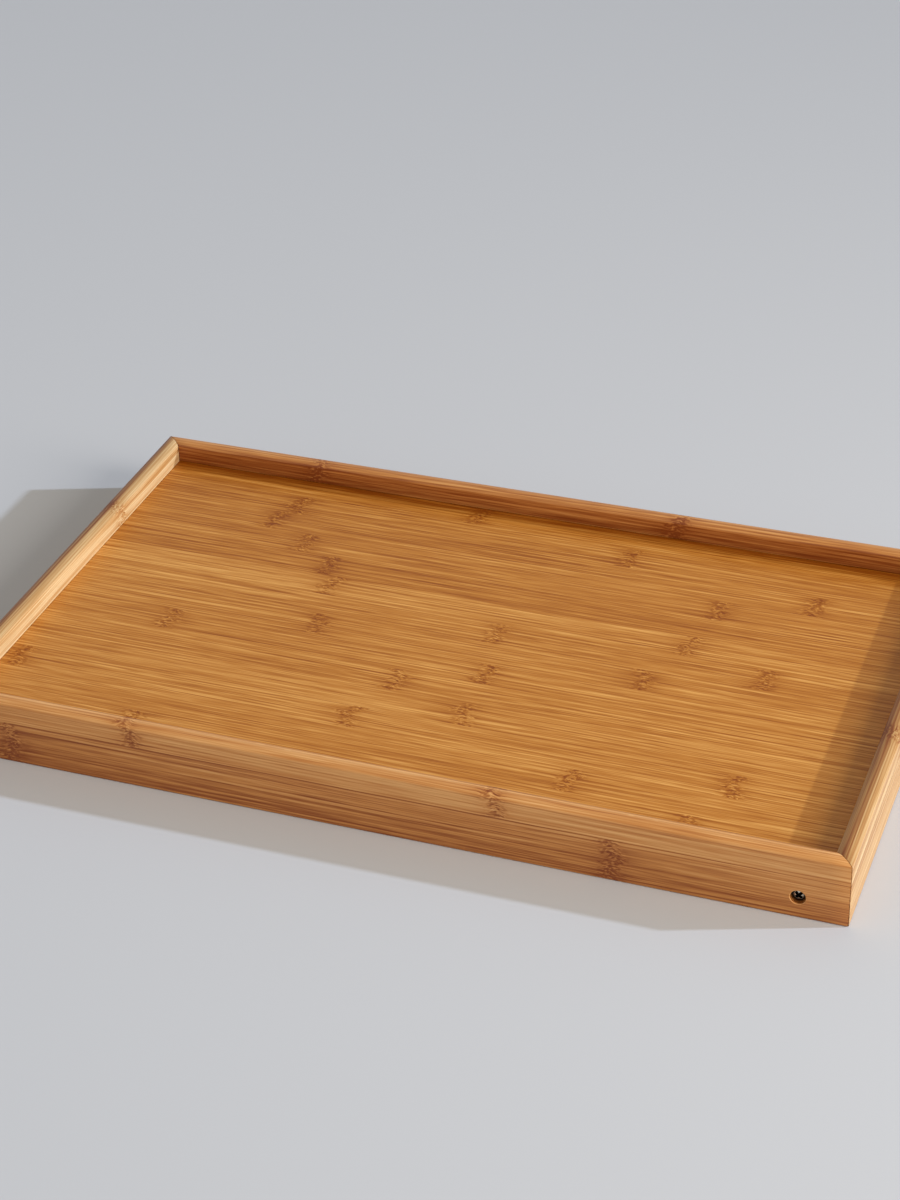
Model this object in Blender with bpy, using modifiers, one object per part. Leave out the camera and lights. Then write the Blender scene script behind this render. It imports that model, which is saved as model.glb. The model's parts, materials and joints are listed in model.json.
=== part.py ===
"""Bamboo breakfast tray with two folding leg frames, shown folded.

Metres, +Z up. The origin is on the ground under the middle of the tray, +X runs along its length and
+Y to its back. The legs are folded under the panel, and each leg frame turns about the axis of its
two pivot screws.
"""

import math

import bmesh
import bpy
from mathutils import Matrix, Vector

# Tray frame
TRAY_LENGTH = 0.500
TRAY_WIDTH = 0.300
RAIL_HEIGHT = 0.038
RAIL_THICKNESS = 0.010
WELL_DEPTH = 0.0125
PANEL_THICKNESS = 0.004
GROOVE_DEPTH = 0.004
RIM_RISE = 0.0016
ARRIS_RADIUS = 0.0010
BASE_CHAMFER = 0.0005

# Leg frames
LEG_GROUND_CLEARANCE = 0.0042
LEG_PANEL_CLEARANCE = 0.0015
LEG_THICKNESS = 0.012
LEG_SPLAY = math.radians(5.0)
FOOT_SPACING = 0.018
CROSSBAR_DIAMETER = 0.012
CROSSBAR_HEIGHT = 0.050
CROSSBAR_CHAMFER = 0.0006
TENON_DIAMETER = 0.008
SOCKET_WALL = 0.004

# Stop blocks
BLOCK_THICKNESS = 0.0073
BLOCK_LENGTH = 0.028
BLOCK_GROUND_CLEARANCE = 0.002

# Pivot hardware
SCREW_DIAMETER = 0.004
SCREW_LAND = 0.006
SCREW_TIP_WALL = 0.003
SCREW_TIP_LENGTH = 0.003
HEAD_DIAMETER = 0.0065
HEAD_HEIGHT = 0.0020
HEAD_CROWN = 0.0008
HEAD_CLEARANCE = 0.00075
RECESS_SPAN = 0.0046
RECESS_SLOT = 0.0012
RECESS_DEPTH = 0.0013
RECESS_TURN = math.radians(45.0)
WASHER_DIAMETER = 0.012
WASHER_THICKNESS = 0.001

# Clearances
FIT_GAP = 0.0003
RUNNING_GAP = 0.0003
CUT_MARGIN = 0.002

# Facets on the round forms
ROUND_STEPS = 32
DOME_STEPS = 12
ARRIS_STEPS = 4
LEG_END_STEPS = 16
AXIS_MERGE = 0.00001

# Sizes that follow from the ones above
HALF_LENGTH = TRAY_LENGTH / 2
HALF_WIDTH = TRAY_WIDTH / 2
PANEL_TOP = RAIL_HEIGHT - WELL_DEPTH
PANEL_BASE = PANEL_TOP - PANEL_THICKNESS
LEG_WIDTH = PANEL_BASE - LEG_GROUND_CLEARANCE - LEG_PANEL_CLEARANCE
LEG_END_RADIUS = LEG_WIDTH / 2
PIVOT_HEIGHT = LEG_GROUND_CLEARANCE + LEG_END_RADIUS
BLOCK_BACK = HALF_LENGTH - RAIL_THICKNESS - FIT_GAP
BLOCK_FACE = BLOCK_BACK - BLOCK_THICKNESS
PIVOT_REACH = BLOCK_FACE - (LEG_END_RADIUS + RUNNING_GAP) / math.cos(LEG_SPLAY)
FOOT_OVERHANG = LEG_END_RADIUS * math.tan(LEG_SPLAY)
LEG_LENGTH = PIVOT_REACH - FOOT_SPACING / 2 - FOOT_OVERHANG
RAIL_INNER_FACE = HALF_WIDTH - RAIL_THICKNESS
LEG_OUTER_FACE = RAIL_INNER_FACE - WASHER_THICKNESS - 2 * RUNNING_GAP
LEG_MIDDLE = LEG_OUTER_FACE - LEG_THICKNESS / 2
LEG_INNER_FACE = LEG_OUTER_FACE - LEG_THICKNESS
SOCKET_END = LEG_OUTER_FACE - SOCKET_WALL

COLLECTION = "breakfast_tray"
CUTTERS = "cutters"
SIDES = {"left": -1, "right": 1}
ENDS = {"front": -1, "back": 1}

FINISHES = {
    "bamboo_rail": ((0.48, 0.24, 0.085), 0.45, 0.0),
    "bamboo_panel": ((0.44, 0.20, 0.055), 0.42, 0.0),
    "bamboo_leg": ((0.46, 0.23, 0.080), 0.48, 0.0),
    "plated_steel": ((0.62, 0.60, 0.55), 0.30, 1.0),
}


def clear_scene():
    """Empty the file, so that the part is all it holds."""
    for obj in list(bpy.data.objects):
        bpy.data.objects.remove(obj)


def new_collection(name):
    """A collection of this name in the scene."""
    collection = bpy.data.collections.new(name)
    bpy.context.scene.collection.children.link(collection)
    return collection


def finish_material(name):
    """The Principled material of one of the finishes."""
    found = bpy.data.materials.get(name)
    if found:
        return found
    colour, roughness, metallic = FINISHES[name]
    material = bpy.data.materials.new(name)
    material.use_nodes = True
    shader = material.node_tree.nodes["Principled BSDF"]
    shader.inputs["Base Color"].default_value = (*colour, 1.0)
    shader.inputs["Roughness"].default_value = roughness
    shader.inputs["Metallic"].default_value = metallic
    return material


def move_to(obj, collection):
    """Link the object to this collection alone."""
    for owner in list(obj.users_collection):
        owner.objects.unlink(obj)
    bpy.data.collections[collection].objects.link(obj)


def keep_part(obj, finish, location=(0, 0, 0), rotation=(0, 0, 0), parent=None):
    """Make the object a node: its finish, its place, and the empty that it moves with."""
    move_to(obj, COLLECTION)
    obj.data.materials.clear()
    obj.data.materials.append(finish_material(finish))
    obj.location = location
    obj.rotation_euler = rotation
    obj.parent = parent
    return obj


def keep_cutter(obj):
    """Put the object among the cutters, where it shows as a wire and isn't part of the model."""
    move_to(obj, CUTTERS)
    obj.hide_render = True
    obj.display_type = "WIRE"
    return obj


def cut(obj, cutter):
    """Take the cutter's shape out of the object."""
    modifier = obj.modifiers.new(cutter.name, "BOOLEAN")
    modifier.operation = "DIFFERENCE"
    modifier.object = cutter
    return modifier


def shade_round(mesh, angle=math.radians(35)):
    """Smooth shading that keeps the edges sharper than this angle."""
    mesh.shade_smooth()
    mesh.set_sharp_from_angle(angle=angle)


def mesh_of(obj, name):
    """A welded mesh copy of a curve or of an object with modifiers, which is then removed."""
    graph = bpy.context.evaluated_depsgraph_get()
    mesh = bpy.data.meshes.new_from_object(obj.evaluated_get(graph))
    mesh.name = name
    bpy.data.objects.remove(obj)
    edit = bmesh.new()
    edit.from_mesh(mesh)
    bmesh.ops.remove_doubles(edit, verts=edit.verts, dist=AXIS_MERGE)
    bmesh.ops.recalc_face_normals(edit, faces=edit.faces)
    edit.to_mesh(mesh)
    edit.free()
    return mesh


def extruded(name, outline, thickness):
    """A flat outline in local XY as a solid mesh, with its thickness centred along local Z."""
    curve = bpy.data.curves.new(name, "CURVE")
    curve.dimensions = "2D"
    curve.fill_mode = "BOTH"
    curve.extrude = thickness / 2
    spline = curve.splines.new("POLY")
    spline.points.add(len(outline) - 1)
    for point, (x, y) in zip(spline.points, outline):
        point.co = (x, y, 0, 1)
    spline.use_cyclic_u = True
    obj = bpy.data.objects.new(name, curve)
    bpy.context.scene.collection.objects.link(obj)
    return mesh_of(obj, name)


def turned(name, profile, closed=False):
    """A profile of (radius, height) points turned about local Z. It runs from the top down the outer side."""
    mesh = bpy.data.meshes.new(name)
    points = [(radius, 0, height) for radius, height in profile]
    count = len(points)
    edges = [(i, i + 1) for i in range(count - 1)]
    if closed:
        edges.append((count - 1, 0))
    mesh.from_pydata(points, edges, [])
    obj = bpy.data.objects.new(name, mesh)
    bpy.context.scene.collection.objects.link(obj)
    screw = obj.modifiers.new("turn", "SCREW")
    screw.axis = "Z"
    screw.angle = math.tau
    screw.steps = ROUND_STEPS
    screw.render_steps = ROUND_STEPS
    screw.use_merge_vertices = True
    screw.merge_threshold = AXIS_MERGE
    return mesh_of(obj, name)


def placed(name, mesh, location=(0, 0, 0), rotation=(0, 0, 0)):
    """A new object in the scene with this mesh."""
    obj = bpy.data.objects.new(name, mesh)
    bpy.context.scene.collection.objects.link(obj)
    obj.location = location
    obj.rotation_euler = rotation
    return obj


def arc(centre, radius, start, end, steps):
    """Points on an arc, both ends included."""
    angles = [start + (end - start) * i / steps for i in range(steps + 1)]
    return [(centre[0] + radius * math.cos(a), centre[1] + radius * math.sin(a)) for a in angles]


def rim_outline():
    """The rim from its outer face over the dome to its inner face, as (distance inwards, height)."""
    middle = RAIL_THICKNESS / 2
    dome_radius = (middle**2 + RIM_RISE**2) / (2 * RIM_RISE)
    dome_centre = (middle, RAIL_HEIGHT - dome_radius)
    across = middle - ARRIS_RADIUS
    up = math.sqrt((dome_radius - ARRIS_RADIUS) ** 2 - across**2)
    lean = math.atan2(up, across)
    outer_centre = (ARRIS_RADIUS, dome_centre[1] + up)
    inner_centre = (RAIL_THICKNESS - ARRIS_RADIUS, dome_centre[1] + up)
    outer = arc(outer_centre, ARRIS_RADIUS, math.pi, math.pi - lean, ARRIS_STEPS)
    dome = arc(dome_centre, dome_radius, math.pi - lean, lean, DOME_STEPS)
    inner = arc(inner_centre, ARRIS_RADIUS, lean, 0, ARRIS_STEPS)
    return outer + dome[1:-1] + inner


def rail_outline():
    """A rail's section, with the groove that holds the panel, as (distance inwards, height)."""
    groove_back = RAIL_THICKNESS - GROOVE_DEPTH
    groove_top = PANEL_TOP + FIT_GAP
    groove_base = PANEL_BASE - FIT_GAP
    base = [
        (RAIL_THICKNESS, groove_top),
        (groove_back, groove_top),
        (groove_back, groove_base),
        (RAIL_THICKNESS, groove_base),
        (RAIL_THICKNESS, BASE_CHAMFER),
        (RAIL_THICKNESS - BASE_CHAMFER, 0),
        (BASE_CHAMFER, 0),
        (0, BASE_CHAMFER),
    ]
    return rim_outline() + base


def rail_mesh(name, length):
    """A rail along local X with its outer face at y = 0 and both ends mitred."""
    mesh = extruded(name, rail_outline(), length)
    mesh.transform(Matrix(((0, 0, 1), (1, 0, 0), (0, 1, 0))).to_4x4())
    setback = FIT_GAP / math.sqrt(2)
    for vertex in mesh.vertices:
        trim = vertex.co.y + setback
        vertex.co.x -= math.copysign(trim, vertex.co.x)
    shade_round(mesh)
    return mesh


def facing(y_sign):
    """The rotation that points local Z outwards, to the front or to the back."""
    return (-y_sign * math.pi / 2, 0, 0)


def pivot_hole_cutter(name, x, y_sign):
    """The counterbore and the clearance hole of one pivot screw, as one stepped cutter."""
    head_radius = HEAD_DIAMETER / 2 + HEAD_CLEARANCE
    hole_radius = SCREW_DIAMETER / 2 + RUNNING_GAP
    top = CUT_MARGIN
    floor = SCREW_LAND - RAIL_THICKNESS
    bottom = -RAIL_THICKNESS - CUT_MARGIN
    profile = [
        (0, top),
        (head_radius, top),
        (head_radius, floor),
        (hole_radius, floor),
        (hole_radius, bottom),
        (0, bottom),
    ]
    location = (x, y_sign * HALF_WIDTH, PIVOT_HEIGHT)
    return keep_cutter(placed(name, turned(name, profile), location, facing(y_sign)))


def build_long_rail(end):
    """The front or the back rail, which carries a pivot at each end."""
    sign = ENDS[end]
    name = f"{end}_rail"
    rail = placed(name, rail_mesh(name, TRAY_LENGTH))
    turn = 0.0 if sign < 0 else math.pi
    keep_part(rail, "bamboo_rail", (0, sign * HALF_WIDTH, 0), (0, 0, turn))
    for side, x_sign in SIDES.items():
        cutter = pivot_hole_cutter(f"{side}_{end}_pivot_hole", x_sign * PIVOT_REACH, sign)
        cut(rail, cutter)


def build_short_rail(side):
    """The left or the right rail."""
    sign = SIDES[side]
    name = f"{side}_rail"
    rail = placed(name, rail_mesh(name, TRAY_WIDTH))
    keep_part(rail, "bamboo_rail", (sign * HALF_LENGTH, 0, 0), (0, 0, sign * math.pi / 2))


def build_panel():
    """The board, which reaches into the grooves of all four rails."""
    inset = RAIL_THICKNESS - GROOVE_DEPTH + FIT_GAP
    size = (TRAY_LENGTH - 2 * inset, TRAY_WIDTH - 2 * inset, PANEL_THICKNESS)
    bpy.ops.mesh.primitive_cube_add(size=1)
    panel = bpy.context.object
    panel.name = "tray_panel"
    panel.data.name = "tray_panel"
    panel.data.transform(Matrix.Diagonal((*size, 1)))
    keep_part(panel, "bamboo_panel", (0, 0, PANEL_BASE + PANEL_THICKNESS / 2))


def build_stop_block(side, end):
    """A block in a corner under the panel. Its inner face has the lean of the unfolded leg that rests on it."""
    name = f"{side}_{end}_stop_block"
    base = BLOCK_GROUND_CLEARANCE
    top = PANEL_BASE - FIT_GAP
    lean = math.tan(LEG_SPLAY)
    outline = [
        (BLOCK_BACK, base),
        (BLOCK_BACK, top),
        (BLOCK_FACE - (top - PIVOT_HEIGHT) * lean, top),
        (BLOCK_FACE + (PIVOT_HEIGHT - base) * lean, base),
    ]
    mirrored = [(SIDES[side] * x, z) for x, z in outline]
    mesh = extruded(name, mirrored, BLOCK_LENGTH)
    mesh.transform(Matrix.Rotation(math.pi / 2, 4, "X"))
    y = ENDS[end] * (RAIL_INNER_FACE - FIT_GAP - BLOCK_LENGTH / 2)
    keep_part(placed(name, mesh), "bamboo_leg", (0, y, 0))


def leg_outline(side):
    """A folded leg in XZ about its pivot: a round end, and a foot that lies flat when the leg is splayed."""
    radius = LEG_END_RADIUS
    foot = [
        (LEG_LENGTH + FOOT_OVERHANG, -radius),
        (LEG_LENGTH - FOOT_OVERHANG, radius),
    ]
    outline = arc((0, 0), radius, math.pi / 2, 3 * math.pi / 2, LEG_END_STEPS) + foot
    return [(-SIDES[side] * x, z) for x, z in outline]


def round_cutter(name, radius, location, y_sign, span):
    """A round cutter along Y, over a span of distances from the tray's middle on the side of y_sign."""
    near, far = span
    bpy.ops.mesh.primitive_cylinder_add(
        vertices=ROUND_STEPS,
        radius=radius,
        depth=far - near,
        location=Vector(location) + Vector((0, y_sign * (near + far) / 2, 0)),
        rotation=facing(y_sign),
    )
    cutter = bpy.context.object
    cutter.name = name
    return keep_cutter(cutter)


def crossbar_offset(side):
    """Where the crossbar lies along its folded leg, from the pivot."""
    return -SIDES[side] * (LEG_LENGTH - CROSSBAR_HEIGHT)


def build_leg(side, end, axis):
    """One leg, with the screw's bore at its pivot and a blind socket for the crossbar."""
    name = f"{side}_{end}_leg"
    sign = ENDS[end]
    mesh = extruded(name, leg_outline(side), LEG_THICKNESS)
    mesh.transform(Matrix.Rotation(math.pi / 2, 4, "X"))
    shade_round(mesh)
    leg = keep_part(placed(name, mesh), "bamboo_leg", (0, sign * LEG_MIDDLE, 0), parent=axis)
    pivot = (SIDES[side] * PIVOT_REACH, 0, PIVOT_HEIGHT)
    socket = (pivot[0] + crossbar_offset(side), 0, PIVOT_HEIGHT)
    bore_radius = SCREW_DIAMETER / 2 + FIT_GAP
    bore_span = (LEG_INNER_FACE + SCREW_TIP_WALL - FIT_GAP, LEG_OUTER_FACE + CUT_MARGIN)
    cut(leg, round_cutter(f"{name}_bore", bore_radius, pivot, sign, bore_span))
    socket_radius = TENON_DIAMETER / 2 + FIT_GAP
    socket_span = (LEG_INNER_FACE - CUT_MARGIN, SOCKET_END)
    cut(leg, round_cutter(f"{name}_socket", socket_radius, socket, sign, socket_span))


def build_crossbar(side, axis):
    """A turned dowel with a tenon at each end, which ties the two legs of a frame together."""
    name = f"{side}_crossbar"
    shoulder = LEG_INNER_FACE - FIT_GAP
    tip = SOCKET_END - FIT_GAP
    radius = CROSSBAR_DIAMETER / 2
    tenon = TENON_DIAMETER / 2
    upper = [
        (0, tip),
        (tenon - CROSSBAR_CHAMFER, tip),
        (tenon, tip - CROSSBAR_CHAMFER),
        (tenon, shoulder),
        (radius - CROSSBAR_CHAMFER, shoulder),
        (radius, shoulder - CROSSBAR_CHAMFER),
    ]
    lower = [(r, -z) for r, z in reversed(upper)]
    mesh = turned(name, upper + lower)
    mesh.transform(Matrix.Rotation(math.pi / 2, 4, "X"))
    shade_round(mesh)
    keep_part(placed(name, mesh), "bamboo_leg", (crossbar_offset(side), 0, 0), parent=axis)


def screw_profile():
    """The pivot screw from the crown of its head to its tip. The underside of the head is at height 0."""
    head = HEAD_DIAMETER / 2
    shank = SCREW_DIAMETER / 2
    length = SCREW_LAND + WASHER_THICKNESS + 2 * RUNNING_GAP + LEG_THICKNESS - SCREW_TIP_WALL
    crown_radius = (head**2 + HEAD_CROWN**2) / (2 * HEAD_CROWN)
    spread = math.asin(head / crown_radius)
    centre = (0, HEAD_HEIGHT - crown_radius)
    crown = arc(centre, crown_radius, math.pi / 2, math.pi / 2 - spread, ARRIS_STEPS)
    body = [
        (head, RUNNING_GAP),
        (shank, RUNNING_GAP),
        (shank, SCREW_TIP_LENGTH - length),
        (0, -length),
    ]
    return [(0, HEAD_HEIGHT)] + crown[1:] + body


def recess_cutter(name, index, place, rotation):
    """One arm of the cross recess, which reaches right across the head."""
    bpy.ops.mesh.primitive_cube_add(size=1)
    cutter = bpy.context.object
    cutter.name = f"{name}_recess_{index}"
    cutter.data.transform(Matrix.Diagonal((RECESS_SPAN, RECESS_SLOT, 2 * RECESS_DEPTH, 1)))
    cutter.data.transform(Matrix.Rotation(RECESS_TURN + index * math.pi / 2, 4, "Z"))
    cutter.data.transform(Matrix.Translation((0, 0, HEAD_HEIGHT)))
    cutter.location = place
    cutter.rotation_euler = rotation
    return keep_cutter(cutter)


def build_pivot_screw(side, end, axis):
    """A cross-head screw that is fast in the leg and turns in the rail's clearance hole."""
    name = f"{side}_{end}_pivot_screw"
    sign = ENDS[end]
    seat = sign * (RAIL_INNER_FACE + SCREW_LAND)
    mesh = turned(name, screw_profile())
    shade_round(mesh)
    screw = keep_part(placed(name, mesh), "plated_steel", (0, seat, 0), facing(sign), axis)
    place = (SIDES[side] * PIVOT_REACH, seat, PIVOT_HEIGHT)
    for index in range(2):
        cut(screw, recess_cutter(name, index, place, facing(sign)))


def build_washer(side, end, axis):
    """The washer that keeps a leg off its rail."""
    name = f"{side}_{end}_washer"
    outer = WASHER_DIAMETER / 2
    inner = SCREW_DIAMETER / 2 + RUNNING_GAP
    half = WASHER_THICKNESS / 2
    profile = [(inner, half), (outer, half), (outer, -half), (inner, -half)]
    mesh = turned(name, profile, closed=True)
    mesh.transform(Matrix.Rotation(math.pi / 2, 4, "X"))
    shade_round(mesh)
    y = ENDS[end] * (RAIL_INNER_FACE - RUNNING_GAP - half)
    keep_part(placed(name, mesh), "plated_steel", (0, y, 0), parent=axis)


def build_leg_frame(side):
    """Two legs, their crossbar and their pivots, all under an empty on the fold's axis."""
    axis = bpy.data.objects.new(f"{side}_fold_axis", None)
    bpy.data.collections[COLLECTION].objects.link(axis)
    axis.location = (SIDES[side] * PIVOT_REACH, 0, PIVOT_HEIGHT)
    for end in ENDS:
        build_leg(side, end, axis)
        build_pivot_screw(side, end, axis)
        build_washer(side, end, axis)
    build_crossbar(side, axis)


def build_tray():
    """The whole tray."""
    clear_scene()
    new_collection(COLLECTION)
    new_collection(CUTTERS)
    build_panel()
    for end in ENDS:
        build_long_rail(end)
    for side in SIDES:
        build_short_rail(side)
        for end in ENDS:
            build_stop_block(side, end)
        build_leg_frame(side)
    bpy.context.view_layer.update()


build_tray()
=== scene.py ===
"""Looks of the bamboo breakfast tray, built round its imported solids.

The tray is seen as in the reference: flat on a pale floor, its two leg frames folded under it. Every solid
of the frame is stood for by a finer piece of the same size: rails with a domed rim and mitres, a board of
glued strips, turned crossbars, and cross-head pivot screws with a real thread. Lengths are in metres.
"""

from __future__ import annotations

import json
import logging
import math
from collections.abc import Iterable, Sequence
from dataclasses import dataclass, field, replace
from enum import Enum

import bmesh
import bpy
import numpy as np
from mathutils import Matrix, Vector


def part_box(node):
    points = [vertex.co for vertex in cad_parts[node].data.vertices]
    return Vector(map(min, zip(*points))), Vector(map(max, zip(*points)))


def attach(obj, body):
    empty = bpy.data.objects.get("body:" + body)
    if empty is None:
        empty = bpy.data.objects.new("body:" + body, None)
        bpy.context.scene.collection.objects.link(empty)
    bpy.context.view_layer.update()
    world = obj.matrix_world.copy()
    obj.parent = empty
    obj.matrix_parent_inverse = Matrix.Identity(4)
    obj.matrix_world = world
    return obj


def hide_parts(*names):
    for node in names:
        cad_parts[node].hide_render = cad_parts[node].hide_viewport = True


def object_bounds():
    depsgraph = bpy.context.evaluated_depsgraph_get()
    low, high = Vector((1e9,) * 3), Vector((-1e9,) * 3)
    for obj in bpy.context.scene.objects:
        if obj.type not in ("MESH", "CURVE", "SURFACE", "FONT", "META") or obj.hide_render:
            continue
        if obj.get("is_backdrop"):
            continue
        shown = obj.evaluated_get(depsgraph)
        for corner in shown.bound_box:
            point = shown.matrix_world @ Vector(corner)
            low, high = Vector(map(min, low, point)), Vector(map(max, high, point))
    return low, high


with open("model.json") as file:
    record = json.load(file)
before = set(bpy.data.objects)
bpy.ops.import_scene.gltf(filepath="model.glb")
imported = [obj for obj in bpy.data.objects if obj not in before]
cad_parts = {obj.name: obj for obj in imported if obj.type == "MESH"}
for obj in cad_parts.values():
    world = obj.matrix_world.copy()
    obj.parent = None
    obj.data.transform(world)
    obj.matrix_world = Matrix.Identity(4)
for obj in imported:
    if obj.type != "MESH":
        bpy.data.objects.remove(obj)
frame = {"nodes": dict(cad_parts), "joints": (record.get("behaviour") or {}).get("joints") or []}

LOG = logging.getLogger("breakfast_tray")

Colour = tuple[float, float, float]
Point2 = tuple[float, float]

# The height of the glue line between the two plies of a rail.
PLY_JOINT = 0.0248
MM_PER_METRE = 1000


class Grain(Enum):
    """The direction that a piece's fibres run in, as an axis of the tray."""

    LENGTHWISE = 0
    CROSSWISE = 1


class Place(Enum):
    """A named place on the tray, by its sign along an axis."""

    @property
    def word(self) -> str:
        """Its name in small letters, as the solids' names have it."""
        return self.name.lower()


class Side(Place):
    """The two ends of the tray's length, by their sign along X."""

    LEFT = -1
    RIGHT = 1


class End(Place):
    """The front and the back of the tray, by their sign along Y."""

    FRONT = -1
    BACK = 1


def paint(red: int, green: int, blue: int) -> Colour:
    """A colour as light, from the 0 to 255 values of a picture.

    Args:
        red: Red, 0 to 255.
        green: Green, 0 to 255.
        blue: Blue, 0 to 255.

    Returns:
        The same colour as three linear values.
    """

    def linear(value: int) -> float:
        """One channel as light."""
        share = value / 255
        return share / 12.92 if share <= 0.04045 else ((share + 0.055) / 1.055) ** 2.4

    return linear(red), linear(green), linear(blue)


@dataclass(frozen=True)
class Signal:
    """One output of a node tree, which Python's operators extend with Math nodes."""

    sheet: NodeSheet
    socket: bpy.types.NodeSocket

    def __add__(self, other: Signal | float) -> Signal:
        """self + other."""
        return self.sheet.math("ADD", self, other)

    def __radd__(self, other: float) -> Signal:
        """other + self."""
        return self.sheet.math("ADD", other, self)

    def __sub__(self, other: Signal | float) -> Signal:
        """self - other."""
        return self.sheet.math("SUBTRACT", self, other)

    def __rsub__(self, other: float) -> Signal:
        """other - self."""
        return self.sheet.math("SUBTRACT", other, self)

    def __mul__(self, other: Signal | float) -> Signal:
        """self * other."""
        return self.sheet.math("MULTIPLY", self, other)

    def __rmul__(self, other: float) -> Signal:
        """other * self."""
        return self.sheet.math("MULTIPLY", other, self)

    def __truediv__(self, other: Signal | float) -> Signal:
        """self / other."""
        return self.sheet.math("DIVIDE", self, other)

    def __rtruediv__(self, other: float) -> Signal:
        """other / self."""
        return self.sheet.math("DIVIDE", other, self)

    def __neg__(self) -> Signal:
        """-self."""
        return self.sheet.math("MULTIPLY", self, -1.0)

    def __abs__(self) -> Signal:
        """The size of self, without its sign."""
        return self.sheet.math("ABSOLUTE", self)


class NodeSheet:
    """A node tree that is written as expressions."""

    def __init__(self, tree: bpy.types.NodeTree) -> None:
        """Start on this tree."""
        self.tree = tree

    def feed(self, socket: bpy.types.NodeSocket, value: object) -> None:
        """Link a socket to a signal, or set it to a plain value.

        Args:
            socket: An input of a node.
            value: A signal, or a value of the socket's own kind.
        """
        if isinstance(value, Signal):
            self.tree.links.new(value.socket, socket)
        else:
            socket.default_value = value

    def add(self, kind: str, settings: dict | None = None, inputs: dict | None = None) -> bpy.types.Node:
        """Add any node.

        Args:
            kind: The node's type name.
            settings: Its own settings, such as an operation, or "stops" for a colour ramp's stops.
            inputs: The values or signals of its sockets, by name or by number.

        Returns:
            The new node.
        """
        node = self.tree.nodes.new(kind)
        for name, value in (settings or {}).items():
            if name == "stops":
                self._set_stops(node.color_ramp, value)
            else:
                setattr(node, name, value)
        for name, value in (inputs or {}).items():
            self.feed(node.inputs[name], value)
        return node

    @staticmethod
    def _set_stops(ramp: bpy.types.ColorRamp, stops: Sequence[tuple[float, Colour]]) -> None:
        """Give a colour ramp these stops of (position, colour).

        Args:
            ramp: The ramp.
            stops: The stops, from the first to the last.
        """
        while len(ramp.elements) < len(stops):
            ramp.elements.new(1.0)
        for element, (position, colour) in zip(ramp.elements, stops):
            element.position = position
            element.color = (*colour, 1.0)

    def signal(
        self,
        kind: str,
        settings: dict | None = None,
        inputs: dict | None = None,
        output: int | str = 0,
    ) -> Signal:
        """Add any node, as add does, and take its output of this name or number."""
        return Signal(self, self.add(kind, settings, inputs).outputs[output])

    def math(self, operation: str, *values: Signal | float) -> Signal:
        """The result of one Math node."""
        return self.signal("ShaderNodeMath", {"operation": operation}, dict(enumerate(values)))

    def vector_math(self, operation: str, *values: object) -> Signal:
        """The result of one Vector Math node."""
        return self.signal("ShaderNodeVectorMath", {"operation": operation}, dict(enumerate(values)))

    def combine(self, x: Signal | float, y: Signal | float, z: Signal | float) -> Signal:
        """A vector from its three parts."""
        return self.signal("ShaderNodeCombineXYZ", None, {0: x, 1: y, 2: z})

    def separate(self, vector: Signal) -> tuple[Signal, Signal, Signal]:
        """The three parts of a vector."""
        node = self.add("ShaderNodeSeparateXYZ", None, {0: vector})
        return tuple(Signal(self, node.outputs[i]) for i in range(3))

    def rise(self, value: Signal, low: float, high: float) -> Signal:
        """0 below low and 1 above high, with a smooth step between."""
        inputs = {"Value": value, "From Min": low, "From Max": high}
        return self.signal("ShaderNodeMapRange", {"interpolation_type": "SMOOTHSTEP"}, inputs)

    def tint(self, base: Signal | Colour, over: Signal | Colour, share: Signal | float) -> Signal:
        """One colour laid over another. The share is how much of it shows, 0 to 1."""
        below, above = (c if isinstance(c, Signal) else (*c, 1.0) for c in (base, over))
        return self.signal("ShaderNodeMix", {"data_type": "RGBA"}, {0: share, 6: below, 7: above}, 2)


@dataclass(frozen=True)
class Streaks:
    """One layer of soft noise, drawn out along the grain.

    Its waves per metre along and across the grain, how strongly it shows, how many finer layers it has,
    and how strong each of those is.
    """

    along: float
    across: float
    strength: float = 1.0
    detail: float = 0.0
    roughness: float = 0.5


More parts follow.
